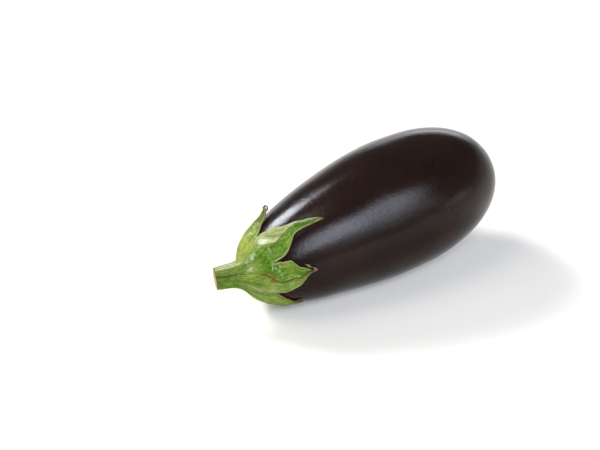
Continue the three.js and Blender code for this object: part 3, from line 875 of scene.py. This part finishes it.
# %% The threads' paths
# Each thread: its usual half-width in mm, and its path as u, the angle round the neck, and mm over
# the skin.
THREADS = [
    (0.75, [(0.872, 163.8, 1.0), (0.885, 164.2, 1.35), (0.899, 164.6, 1.6), (0.909, 163.6, 2.0),
            (0.904, 161.6, 2.4), (0.89, 159.8, 2.5), (0.873, 158.2, 2.2), (0.858, 156.2, 1.9),
            (0.845, 154.6, 1.7), (0.828, 152.6, 1.1)]),
    (0.65, [(0.76, 57.3, 1.9), (0.785, 56.4, 2.6), (0.812, 55, 3.9), (0.831, 54, 4.6),
            (0.848, 54, 4.7), (0.854, 55, 3.9), (0.844, 57, 3.0), (0.824, 59, 2.7),
            (0.807, 60, 2.4)]),
]
THREAD_ROWS = 60


def smooth_path(knots, count):
    """count points on a smooth curve through the knots (Catmull-Rom: each stretch is a cubic whose
    end slopes are half the step between the neighbours on both sides)."""
    knots = np.array(knots, float)
    knots = np.concatenate([[2 * knots[0] - knots[1]], knots, [2 * knots[-1] - knots[-2]]])
    place = np.linspace(0, len(knots) - 3 - 1e-9, count)
    i = place.astype(int)
    t = (place - i)[:, None]
    a, b, c, d = (knots[i + j] for j in range(4))
    bend, twist = 2 * a - 5 * b + 4 * c - d, 3 * b - a - 3 * c + d
    return (2 * b + (c - a) * t + bend * t**2 + twist * t**3) / 2


print("threads:", [f"{len(knots)} knots, about {2 * size} mm wide" for size, knots in THREADS])

# %% [markdown]
# ## Laying the threads on the skin
#
# A thread shrank unevenly as it dried, so its width swings along it. A single sine would look
# turned on a lathe, so two that don't keep step are added, and both ends are drawn in.

# %% Make the dried threads
THREAD_COLUMNS = 16
THREAD_FLATNESS, THREAD_TWIST = 0.4, 7  # thickness as a share of the width; radians from end to end
SECTION_LEAN = [0.2, -0.5, 0.8]  # a direction that no thread ever runs in


def tube(path, half_width, half_thickness, twist, columns):
    """A closed tube with an oval section carried along a path, which turns by twist radians."""
    ahead = unit(np.gradient(path, axis=0))
    side = unit(np.cross(ahead, SECTION_LEAN))
    other = np.cross(ahead, side)
    turn = np.linspace(0, 2 * np.pi, columns, endpoint=False)[None, :]
    across = half_width[:, None] * np.cos(turn)
    through = half_thickness[:, None] * np.sin(turn)
    x = across * np.cos(twist)[:, None] - through * np.sin(twist)[:, None]
    y = across * np.sin(twist)[:, None] + through * np.cos(twist)[:, None]
    rings = path[:, None] + x[..., None] * side[:, None] + y[..., None] * other[:, None]
    index = np.arange(rings[..., 0].size).reshape(rings.shape[:2])
    faces = cells(np.concatenate([index, index[:, :1]], axis=1))
    faces += fan(index.size, index[0]) + fan(index.size + 1, index[-1])
    return np.concatenate([rings.reshape(-1, 3), path[:1], path[-1:]]), faces


def dried_threads():
    """Every thread as a flat twisted tube, as points and faces. Its half-width is its size x (1 +
    two sines), drawn in over the first and the last share of its length."""
    points, faces = [], []
    s = np.linspace(0, 1, THREAD_ROWS)
    for size, knots in THREADS:
        place = smooth_path(knots, THREAD_ROWS)
        u, angle = place[:, 0], np.radians(place[:, 1])
        path = skin_point(u, angle) + place[:, 2:] * skin_normal(u, angle)
        half_width = size * (1 + 0.35 * np.sin(19 * s) + 0.2 * np.sin(41 * s))
        half_width = half_width * np.clip(s / 0.04, 0.3, 1) * np.clip((1 - s) / 0.12, 0.25, 1)
        flat, twist = THREAD_FLATNESS * half_width, THREAD_TWIST * s
        made, made_faces = tube(path, half_width, flat, twist, THREAD_COLUMNS)
        length = np.linalg.norm(np.diff(path, axis=0), axis=1).sum()
        print(f"thread {length:.1f} mm long, {2 * half_width.mean():.1f} mm wide on average and "
              f"{2 * half_width.max():.1f} mm at most, {2 * flat.mean():.1f} mm thick")
        start = sum(len(p) for p in points)
        faces += [[start + i for i in face] for face in made_faces]
        points.append(made)
    return np.concatenate(points), faces


thread = make_mesh("dried_thread", *dried_threads(), {})

# %% [markdown]
# ## Colours
#
# Every finish here is worked out by nodes from the place on the surface, in real millimetres, so it
# holds at any distance and from any side. Pictures wrapped round the pieces would be quicker, but
# they would carry their own light with them. Colours are written as hex values, as a painter picks
# them. They could be typed in as linear numbers, but no one can read those, so one function turns
# them into linear light.

# %% Colours
def linear(hex_colour):
    """An sRGB hex colour as linear red, green, blue and alpha: each channel c becomes c / 12.92 if
    it is dark, and ((c + 0.055) / 1.055) ^ 2.4 if not."""
    value = hex_colour.lstrip("#")
    c = np.array([int(value[i:i + 2], 16) for i in (0, 2, 4)]) / 255
    return (*np.where(c <= 0.04045, c / 12.92, ((c + 0.055) / 1.055) ** 2.4), 1.0)


print("leaf green in linear light:", [round(float(c), 3) for c in linear("#4f712a")])

# %% [markdown]
# ## Nodes
#
# A node could be added by hand with half a dozen lines, and every kind could have its own helper.
# One function for all of them keeps the recipes below short: it takes the kind, what feeds each
# input, and the settings.

# %% Nodes
def new_material(name):
    """An empty node material, with its tree and a Principled shader joined to the output."""
    material = bpy.data.materials.new(name)
    material.use_nodes = True
    tree = material.node_tree
    return material, tree, tree.nodes["Principled BSDF"]


def add(tree, kind, links=None, **settings):
    """Adds a node of a kind. A setting that starts with a capital is an input, with _ for a space,
    and the rest set the node itself. links tells what feeds an input: a socket, or a node, which
    means its first live output."""
    node = tree.nodes.new("ShaderNode" + kind)
    for key, value in settings.items():
        if key[0].islower():
            setattr(node, key, value)
    inputs = {socket.identifier: socket for socket in node.inputs}
    live = [socket for socket in reversed(node.inputs) if socket.enabled]
    inputs.update({socket.name.replace(" ", "_"): socket for socket in live})
    for key, value in settings.items():
        if not key[0].islower():
            inputs[key].default_value = value
    for key, source in (links or {}).items():
        if isinstance(source, bpy.types.Node):
            source = next(socket for socket in source.outputs if socket.enabled)
        tree.links.new(source, inputs[key])
    return node


def per_mm(size):
    """The Scale of a texture on Object coordinates (metres) whose features are size mm across."""
    return 1000 / size


# %% [markdown]
# ## Layers of colour
#
# Paint goes on in glazes: each covers what lies under it only where its mask lets it. One long
# formula could say the same, but a list of glazes can be read, moved and tuned one by one.

# %% Layers of colour
def layered(tree, base, layers):
    """Mixes colours over a base, a hex or a socket, one after another: each layer is a mask, how
    much of it, and a hex. mixed = under + (colour - under) x mask x amount."""
    links, under = ({}, {"A": linear(base)}) if isinstance(base, str) else ({"A": base}, {})
    for mask, amount, hex_colour in layers:
        part = add(tree, "Math", {"Value": mask}, operation="MULTIPLY", Value_001=amount)
        mixed = add(tree, "Mix", {"Factor": part, **links},
                    data_type="RGBA", B=linear(hex_colour), **under)
        links, under = {"A": mixed}, {}
    return mixed


# %% [markdown]
# ## Waxed aubergine skin
#
# The skin of an aubergine is nearly black because purple pigment lies over green, and against that
# dark its colour reads as a deep brown. Over it lies a thin clear wax, which gives a gloss like
# lacquer but slightly soft. A clear coat over a rough base could make that, but the base is so dark
# that only the coat would show. So one gloss is enough: a dark base that drifts a little, under a
# low roughness. At the blossom end the dark gives way to a ragged spot of dry cork.

# %% Make the skin's colour
skin_finish, tree, shader = new_material("waxed_aubergine_skin")
place = add(tree, "TexCoord").outputs["Object"]
drift = add(tree, "TexNoise", {"Vector": place}, Scale=per_mm(22), Detail=3.0, Roughness=0.5)
pores = add(tree, "TexNoise", {"Vector": place}, Scale=per_mm(1.5), Detail=2.0, Roughness=0.6)
dimples = add(tree, "TexNoise", {"Vector": place}, Scale=per_mm(3.2), Detail=3.0, Roughness=0.55)
drifting = add(tree, "MapRange", {"Value": drift}, From_Min=0.35, From_Max=0.65)
dark = layered(tree, "#180e0a", [(drifting, 1.0, "#20130d")])

# The blossom left a scar: within about 3.3 mm of its middle, with a ragged edge, the skin is dry
# cork, and its heart is darker.
from_scar = add(tree, "Attribute", attribute_name="from_scar").outputs["Fac"]
scar_edge = add(tree, "Math", {"Value": from_scar, "Value_001": dimples}, operation="ADD")
scar = add(tree, "MapRange", {"Value": scar_edge}, From_Min=4.2, From_Max=3.4)
heart = add(tree, "MapRange", {"Value": scar_edge}, From_Min=1.8, From_Max=1.0)
cork = layered(tree, "#4a3322", [
    (pores, 1.0, "#84684a"),
    (heart, 0.6, "#3a281a"),
])
colour = add(tree, "Mix", {"Factor": scar, "A": dark, "B": cork}, data_type="RGBA")
tree.links.new(colour.outputs["Result"], shader.inputs["Base Color"])
print("the skin's colour takes", len(tree.nodes), "nodes")

# %% [markdown]
# ## The gloss of the wax
#
# Wax fills the skin's pores unevenly, so a mirrored lamp has soft, faintly grainy borders. Real
# relief would take millions of faces for pores this small, so a bump map bends the light instead.
# Plant wax has an index of about 1.4; a slightly lower one keeps the mirrored floor as dim as on a
# thin, dusty coat. Where the skin faces down, the gloss is turned down further, so that the
# mirrored
# floor is darker there: painted shade on the underside.

# %% Make the skin's gloss
gloss = add(tree, "MapRange", {"Value": dimples},
            From_Min=0.3, From_Max=0.7, To_Min=0.15, To_Max=0.2)
gloss = add(tree, "Mix", {"Factor": scar, "A": gloss}, B=0.8)
# Pores 1.5 mm apart and dimples 3 mm apart are hundredths of a mm deep, but gloss shows them.
relief = add(tree, "Bump", {"Height": pores}, Strength=1.0, Distance=0.055 * MM)
relief = add(tree, "Bump", {"Height": dimples, "Normal": relief}, Strength=1.0, Distance=0.09 * MM)
# The wax is thinner over the pores, so what it mirrors is faintly mottled.
wax = add(tree, "MapRange", {"Value": pores}, From_Min=0.3, From_Max=0.7, To_Min=0.41, To_Max=0.59)
# Where the skin faces down most, less than half of the gloss is left: painted shade on the
# underside.
underside_mask = add(tree, "Attribute", attribute_name="underside_shade").outputs["Fac"]
gloss_kept = add(tree, "MapRange", {"Value": underside_mask}, To_Min=1.0, To_Max=0.45)
wax = add(tree, "Math", {"Value": wax, "Value_001": gloss_kept}, operation="MULTIPLY")
tree.links.new(wax.outputs["Value"], shader.inputs["Specular IOR Level"])
tree.links.new(gloss.outputs["Result"], shader.inputs["Roughness"])
tree.links.new(relief.outputs["Normal"], shader.inputs["Normal"])
shader.inputs["IOR"].default_value = 1.3
fruit.data.materials.append(skin_finish)
print(skin_finish.name, "has", len(tree.nodes), "nodes")

# %% [markdown]
# ## Sepal green
#
# A sepal is a thick leaf with a dull surface: hardly any light comes off it as gloss, so its
# specular level is low. Its green isn't even. Fibres run from the stem to the tip, the top has
# bleached to yellow where the sun reached it, the margins are dry and pale, and old scratches have
# healed brown. The way to this is a painter's: a base green, and over it one glaze after another,
# each with its own mask. The masks join the tints and distances stored on the mesh with noise that
# follows the fibres.

# %% Patterns of the leaf
sepal_finish, tree, shader = new_material("fresh_sepal_leaf")
told = {name: add(tree, "Attribute", attribute_name=name).outputs["Fac"] for name in LEAF_NUMBERS}
flow = add(tree, "Attribute", attribute_name="fibre").outputs["Vector"]
place = add(tree, "TexCoord").outputs["Object"]
# Veins 3 mm apart are 14 times as long, and fibres 1.1 mm apart 4 times, because they fork.
# Crinkles lie every 2.5 mm and blotches every 4.
VEIN_MM, FIBRE_MM, CRINKLE_MM = 3, 1.1, 2.5
lengthwise = add(tree, "Mapping", {"Vector": flow}, Scale=(1, 1, 0.07))
veins = add(tree, "TexNoise", {"Vector": lengthwise}, Scale=1 / VEIN_MM, Detail=2.0, Roughness=0.5)
forked = add(tree, "Mapping", {"Vector": flow}, Scale=(1, 1, 0.25))
fibres = add(tree, "TexNoise", {"Vector": forked}, Scale=1 / FIBRE_MM, Detail=3.0, Roughness=0.6)
crinkled = add(tree, "Mapping", {"Vector": flow}, Scale=(1, 1, 0.5))
crinkles = add(tree, "TexNoise", {"Vector": crinkled},
               Scale=1 / CRINKLE_MM, Detail=3.0, Roughness=0.6)
blotches = add(tree, "TexNoise", {"Vector": place}, Scale=per_mm(4), Detail=4.0, Roughness=0.6)
grain = add(tree, "TexNoise", {"Vector": place}, Scale=per_mm(1.3), Detail=3.0, Roughness=0.65)
uneven = add(tree, "MapRange", {"Value": grain},
             From_Min=0.25, From_Max=0.75, To_Min=-0.3, To_Max=0.3)
print("fibres per cm:", round(10 / FIBRE_MM, 1))

# %% [markdown]
# ## Masks for the marks
#
# A mark on a leaf has a torn border, because cells dry or scar one by one. A soft brush alone looks
# like spray paint. So the paint's strength is pushed up and down by the grain and then cut off
# steeply, and what was a blur becomes a ragged patch. Each mask could be a picture, but then it
# would end in pixels.

# %% Masks of the leaf
# The strokes' edges are roughened by the grain: the paint must beat a threshold that it moves.
patchy = add(tree, "MapRange", {"Value": grain}, From_Min=0.3, From_Max=0.7, To_Min=0.3, To_Max=1.5)
# The painted highlights on the ridges, broken up by the grain.
painted_highlight = add(tree, "Math", {"Value": told["painted_highlight"], "Value_001": patchy}, operation="MULTIPLY")
painted_highlight = add(tree, "MapRange", {"Value": painted_highlight}, From_Min=0.2, From_Max=0.85)
healed = add(tree, "Math", {"Value": told["healed"], "Value_001": uneven}, operation="ADD")
healed = add(tree, "MapRange", {"Value": healed}, From_Min=0.3, From_Max=0.6)

# The scratch is a line where the distance to it, swayed by the fibres, is nearly 0.
sway = add(tree, "MapRange", {"Value": fibres}, To_Min=-0.6, To_Max=0.6)
scratch = add(tree, "Math", {"Value": told["scratch_mm"], "Value_001": sway}, operation="ADD")
scratch = add(tree, "Math", {"Value": scratch}, operation="ABSOLUTE")
scratch = add(tree, "MapRange", {"Value": scratch}, From_Min=0.7, From_Max=0.25)
open_skin = add(tree, "Math", {"Value": told["scratched"], "Value_001": uneven}, operation="ADD")
open_skin = add(tree, "MapRange", {"Value": open_skin}, From_Min=0.1, From_Max=0.6)
scratch = add(tree, "Math", {"Value": scratch, "Value_001": open_skin}, operation="MULTIPLY")
print("masks for the marks:", len(tree.nodes), "nodes so far")

# %% [markdown]
# ## Masks for the margins and the fibres
#
# A sepal dries from its margins inwards and frays at its tip. The distance to the nearest margin is
# on the mesh, so a mask is just that distance compared with a width, roughened like the marks.
# Fibres and veins come from noise that is drawn out along the sepal, cut at two levels: light
# ridges, and dark furrows that are partly the fibres' pigment and partly painted shade.

# %% Masks of the margins and the keel
ragged = add(tree, "Math", {"Value": told["edge_mm"], "Value_001": uneven}, operation="ADD")
edge = add(tree, "MapRange", {"Value": ragged}, From_Min=1.05, From_Max=0.35)
burnt_edge = add(tree, "MapRange", {"Value": ragged}, From_Min=0.4, From_Max=0.15)
tip = add(tree, "MapRange", {"Value": told["down"]}, From_Min=0.93, From_Max=1.0)
# A thin line along sepal 1's fold: partly its own brown, partly painted shade in the crease.
fold_line_and_shade = add(tree, "Math", {"Value": told["keel_mm"]}, operation="ABSOLUTE")
fold_line_and_shade = add(tree, "MapRange", {"Value": fold_line_and_shade}, From_Min=0.5, From_Max=0.1)
fold_line_and_shade = add(tree, "Math", {"Value": fold_line_and_shade, "Value_001": told["shaded_fold"]}, operation="MULTIPLY")
blotch = add(tree, "MapRange", {"Value": blotches}, From_Min=0.42, From_Max=0.6)
vein = add(tree, "MapRange", {"Value": veins}, From_Min=0.47, From_Max=0.6)
pale_fibre = add(tree, "MapRange", {"Value": fibres}, From_Min=0.5, From_Max=0.65)
# Dark furrows between the fibres: partly their own pigment, partly painted shade where the bump
# sinks.
fibre_furrow_shade = add(tree, "MapRange", {"Value": fibres}, From_Min=0.48, From_Max=0.34)
speck = add(tree, "MapRange", {"Value": grain}, From_Min=0.52, From_Max=0.7)
pit = add(tree, "MapRange", {"Value": grain}, From_Min=0.46, From_Max=0.3)
print("masks for the margins and fibres:", len(tree.nodes), "nodes so far")

# %% [markdown]
# ## The leaf's glazes
#
# The order is the plant's own: first its green with lighter blotches and dark veins, then what the
# sun did to it, with the lit facets painted paler, then fibres and specks, with painted shade in
# the furrows, and last the painted highlights on the ridges, the dry margins, the painted shade
# along sepal 1's fold and the scars, which lie on top. A scan of a leaf could replace it all, but
# it would repeat and carry its own shadows.

# %% Mix the leaf's colours
# Each glaze: its mask, how much of it, and its colour.
green = layered(tree, "#4f712a", [
    (blotch, 0.6, "#6c9022"),
    (vein, 0.4, "#375b0b"),
    (told["yellow"], 0.9, "#9ba247"),
    (told["olive"], 0.9, "#8b8d43"),
    (pale_fibre, 0.45, "#9db25c"),
    # Paler facets and ridges: partly bleached, partly painted light.
    (told["pale_and_lit"], 0.85, "#adad7c"),
    (told["dull"], 0.8, "#5e5637"),
    (told["fresh"], 0.9, "#3d6806"),
    # Painted shade in the fibres' furrows, over their own darker pigment.
    (fibre_furrow_shade, 0.5, "#315014"),
    (speck, 0.42, "#a2ae46"),
    (pit, 0.42, "#355311"),
    # Painted highlights on the ridges.
    (painted_highlight, 0.85, "#ccd4b8"),
    (edge, 0.7, "#b8b480"),
    (tip, 0.6, "#a89270"),
    (burnt_edge, 0.85, "#4a3018"),
    # Painted shade along sepal 1's fold, over its own brown.
    (fold_line_and_shade, 0.5, "#65602a"),
    (healed, 0.8, "#66491f"),
    (scratch, 0.9, "#573a1c"),
])
tree.links.new(green.outputs["Result"], shader.inputs["Base Color"])
print("with the glazes:", len(tree.nodes), "nodes")

# %% [markdown]
# ## The leaf's relief
#
# The outer face of a sepal is crinkled like soft leather, with fibres over the crinkles and a fine
# grain over both. Displaced geometry could carry the crinkles, but they are shallower than the
# sepal is thick, so three bump maps, one over another, do as well and keep the mesh light.

# %% The leaf's relief and gloss
relief = add(tree, "Bump", {"Height": crinkles}, Strength=1.0, Distance=2 * MM)
relief = add(tree, "Bump", {"Height": fibres, "Normal": relief}, Strength=1.0, Distance=0.7 * MM)
relief = add(tree, "Bump", {"Height": grain, "Normal": relief}, Strength=0.6, Distance=0.2 * MM)
tree.links.new(relief.outputs["Normal"], shader.inputs["Normal"])
shader.inputs["Roughness"].default_value = 0.45
shader.inputs["Specular IOR Level"].default_value = 0.06
calyx.data.materials.append(sepal_finish)
print(sepal_finish.name, "has", len(tree.nodes), "nodes")

# %% [markdown]
# ## Stalk green, and the dry cut
#
# The stalk is the same living tissue as the sepals. It could have a green of its own, but then a
# line would show where the two meet, so its finish starts as a copy of theirs. Where it was cut, it
# has dried: the pith to straw, with a brown line where the bark shrank from it, and the green
# beside the cut to tan.

# %% Make the stalk's material
stalk_finish = sepal_finish.copy()
stalk_finish.name = "ribbed_green_stalk"
tree = stalk_finish.node_tree
shader = tree.nodes["Principled BSDF"]
living = shader.inputs["Base Color"].links[0].from_socket
place = add(tree, "TexCoord").outputs["Object"]
crumbs = add(tree, "TexNoise", {"Vector": place}, Scale=per_mm(0.8), Detail=3.0, Roughness=0.65)
crumb = add(tree, "MapRange", {"Value": crumbs}, From_Min=0.4, From_Max=0.7)
from_cut = add(tree, "Attribute", attribute_name="from_cut").outputs["Fac"]
drying = add(tree, "MapRange", {"Value": from_cut}, From_Min=-1.2, From_Max=-0.4)
pith = add(tree, "MapRange", {"Value": from_cut}, From_Min=0.0, From_Max=0.2)
bark = add(tree, "Math", {"Value": from_cut}, operation="SUBTRACT", Value_001=0.55)
bark = add(tree, "Math", {"Value": bark}, operation="ABSOLUTE")
bark = add(tree, "MapRange", {"Value": bark}, From_Min=0.35, From_Max=0.1)
pith_grain = add(tree, "Math", {"Value": pith, "Value_001": crumb}, operation="MULTIPLY")
dried = layered(tree, living, [
    (drying, 0.8, "#86602c"),
    (pith, 1.0, "#e2cfa6"),
    (bark, 0.6, "#7a5228"),
    (pith_grain, 0.4, "#a88c60"),
])
tree.links.new(dried.outputs["Result"], shader.inputs["Base Color"])
stem.data.materials.append(stalk_finish)
print(stalk_finish.name, "has", len(tree.nodes), "nodes")

# %% [markdown]
# ## Dried leaf
#
# The threads are dead tissue: thin, brown and dull, paler where they are frayed. The leaf's own
# finish could be browned by one more mask, but nothing of its green, wax or veins is left here, so
# a short recipe of its own is clearer: two browns and a fine grain.

# %% Make the threads' material
dry_finish, tree, shader = new_material("dried_leaf_tip")
place = add(tree, "TexCoord").outputs["Object"]
fray = add(tree, "TexNoise", {"Vector": place}, Scale=per_mm(0.7), Detail=3.0, Roughness=0.65)
frayed = add(tree, "MapRange", {"Value": fray}, From_Min=0.35, From_Max=0.65)
brown = layered(tree, "#54401e", [(frayed, 0.8, "#8e7d58")])
tree.links.new(brown.outputs["Result"], shader.inputs["Base Color"])
shader.inputs["Roughness"].default_value = 0.75
shader.inputs["Specular IOR Level"].default_value = 0.1
thread.data.materials.append(dry_finish)
print(dry_finish.name, "has", len(tree.nodes), "nodes")

# %% [markdown]
# ## What stands for what
#
# Each fine piece rides on the part's one body and stands for its plain solid, which is then hidden.
# The solids could be kept inside and only coloured, but they would poke through the thinner sepals.
# The threads have no solid of their own, so they only ride along.

# %% Tie the pieces to the frame
for piece, node, slot in ((fruit, "fruit", "skin"), (calyx, "calyx", "sepal_green"),
                          (stem, "stem", "stalk_green"), (thread, None, "sepal_green")):
    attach(piece, "root")
    if node:
        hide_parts(node)
    print(f"{piece.name} stands for {node or 'no solid'} and is painted as {slot}")

# %% [markdown]
# ## The floor
#
# The fruit lies on a seamless sheet of matt white paper. A curved backdrop could hide the horizon,
# but the camera looks down, so a wide flat disc is enough, and it also lights the fruit from below.

# %% Floor
FLOOR_RADIUS, FLOOR_CORNERS = 8.0, 96
turn = np.linspace(0, 2 * np.pi, FLOOR_CORNERS, endpoint=False)
floor_mesh = bpy.data.meshes.new("studio_floor")
rim_points = np.stack([FLOOR_RADIUS * np.cos(turn), FLOOR_RADIUS * np.sin(turn), 0 * turn], -1)
floor_mesh.from_pydata(rim_points.tolist(), [], [list(range(len(turn)))])
floor = bpy.data.objects.new("studio_floor", floor_mesh)
bpy.context.scene.collection.objects.link(floor)
floor_finish, tree, shader = new_material("matt_white_paper")
shader.inputs["Base Color"].default_value = linear("#f6f0e4")
shader.inputs["Roughness"].default_value = 0.7
shader.inputs["Specular IOR Level"].default_value = 0.2
floor_mesh.materials.append(floor_finish)
print("floor:", 2 * FLOOR_RADIUS, "m across")

# %% [markdown]
# ## The light
#
# A shiny dark thing is lit by what it mirrors, so the size and the place of each lamp matter more
# than its power. Bare lamps would give hard white dots, so every light is a soft box whose cloth
# fades towards its sides.

# %% A soft box
AIM_HEIGHT = 0.04  # the lamps face a point so many metres above the resting spot


def soft_box(name, azimuth, elevation, distance, size, radiance, tint, soft, roll=0):
    """A rectangular area light that faces the fruit from an azimuth (from +Y towards +X) and
    elevation, rolled by an angle round its own middle. Its power follows from the wanted radiance:
    power = radiance x area x pi. Its cloth glows evenly in the middle and fades towards each side
    over a share of the box: soft = left, right, bottom, top."""
    a, e = np.radians([azimuth, elevation])
    towards = Vector((np.sin(a) * np.cos(e), np.cos(a) * np.cos(e), np.sin(e)))
    lamp = bpy.data.lights.new(name, "AREA")
    lamp.shape, lamp.size, lamp.size_y = "RECTANGLE", *size
    lamp.energy = radiance * size[0] * size[1] * np.pi
    lamp.color = linear(tint)[:3]
    lamp.use_nodes = True
    tree = lamp.node_tree
    on_cloth = add(tree, "SeparateXYZ", {"Vector": add(tree, "TexCoord").outputs["UV"]})
    left, right, bottom, top = soft
    sides = ("X", 0, left), ("X", 1, 1 - right), ("Y", 0, bottom), ("Y", 1, 1 - top)
    glow = None
    for axis, side, inner in sides:
        fade = add(tree, "MapRange", {"Value": on_cloth.outputs[axis]},
                   interpolation_type="SMOOTHSTEP", From_Min=side, From_Max=inner)
        both = {"Value": glow, "Value_001": fade}
        glow = add(tree, "Math", both, operation="MULTIPLY") if glow else fade
    tree.links.new(glow.outputs[0], tree.nodes["Emission"].inputs["Strength"])
    made = bpy.data.objects.new(name, lamp)
    made.location = towards * distance + Vector((0, 0, AIM_HEIGHT))
    made.rotation_euler = (towards.to_track_quat("Z", "Y").to_matrix()
                           @ Matrix.Rotation(np.radians(roll), 3, "Z")).to_euler()
    made.visible_camera = False
    bpy.context.scene.collection.objects.link(made)
    print(f"{name}: {lamp.energy:.0f} W at {[round(c, 2) for c in made.location]}")


# %% [markdown]
# ## The six lamps
#
# The strong one behind draws the narrow highlight along the shoulder and throws the soft shadow.
# The wide bluish one to the right of the camera is the broad grey sheen along the side. A dim glow
# below it and another at the blossom end fill the dark under that sheen, one at the stem's side
# models the sepals, and the pale backdrop is the thin grey rim along the top. One ring of light
# could do for all of them, but then every curve would carry the same mark.

# %% The six lamps
soft_box("back_soft_box", -25, 39, 1.8, (1.05, 0.85), 38, "#f4f7ff", (0.3, 0.65, 0.3, 0.3))
soft_box("front_soft_box", -178.5, 40.5, 1.8, (2.3, 1.45), 12.9, "#e1eafc",
         (0.28, 0.72, 0.45, 0.38), roll=-7)
soft_box("front_glow", 172, 20, 2.4, (3.0, 1.0), 1.5, "#f0f4ff", (0.4, 0.4, 0.3, 0.4))
soft_box("side_soft_box", -78, 60, 1.8, (1.3, 1.2), 3.6, "#fffaf4", (0.3, 0.3, 0.3, 0.3))
soft_box("right_glow", 138, 5, 2.4, (1.4, 0.7), 1.5, "#f4f2f0", (0.4, 0.4, 0.4, 0.5))
soft_box("pale_and_lit_backdrop", 40, 7, 3.0, (2.8, 1.0), 2.9, "#f0f4ff", (0.4, 0.4, 0.01, 0.5))

# %% [markdown]
# ## The dim room
#
# Between the lamps a studio isn't black, because its walls send back a little light. A picture of a
# room could stand round the scene, but it would show in the gloss. So the world is a plain glow,
# brighter near the horizon, where pale walls would stand.

# %% The dim room
HORIZON_GLOW, OVERHEAD_GLOW = 0.8, 0.13
world = bpy.data.worlds.new("dim_studio")
bpy.context.scene.world = world
world.use_nodes = True
tree = world.node_tree
up = add(tree, "SeparateXYZ", {"Vector": add(tree, "TexCoord").outputs["Generated"]}).outputs["Z"]
haze = add(tree, "MapRange", {"Value": up},
           From_Min=0.0, From_Max=0.25, To_Min=HORIZON_GLOW, To_Max=OVERHEAD_GLOW)
background = tree.nodes["Background"]
background.inputs["Color"].default_value = linear("#f4f7ff")
tree.links.new(haze.outputs["Result"], background.inputs["Strength"])
print("the room glows with", HORIZON_GLOW, "at the horizon and", OVERHEAD_GLOW, "overhead")

# %% [markdown]
# ## The camera
#
# A long lens from about a metre away keeps the fruit's proportions, as in a catalogue. It could be
# aimed by a constraint, but three angles say the same and can't drift: a turn round the vertical, a
# tilt down, and a slight roll on the lens's own axis.

# %% Camera
CAMERA_AT = (-408.8, -684.3, 646.3)  # mm from the resting spot
CAMERA_TURN, CAMERA_DOWN, CAMERA_ROLL = -27.824, 37.300, -2.34  # degrees
LENS = 91.4  # focal length in mm

camera = bpy.data.objects.new("camera", bpy.data.cameras.new("camera"))
a, e = np.radians([CAMERA_TURN, CAMERA_DOWN])
back = Vector((np.sin(a) * np.cos(e), -np.cos(a) * np.cos(e), np.sin(e)))
facing = back.to_track_quat("Z", "Y").to_matrix() @ Matrix.Rotation(np.radians(CAMERA_ROLL), 3, "Z")
camera.matrix_world = Matrix.Translation(Vector(CAMERA_AT) * MM) @ facing.to_4x4()
camera.data.lens = LENS
camera.data.clip_end = 50
bpy.context.scene.collection.objects.link(camera)
bpy.context.scene.camera = camera
bpy.context.scene.view_settings.view_transform = "Standard"
print("camera", round(Vector(CAMERA_AT).length), "mm from the resting spot, lens", LENS, "mm")
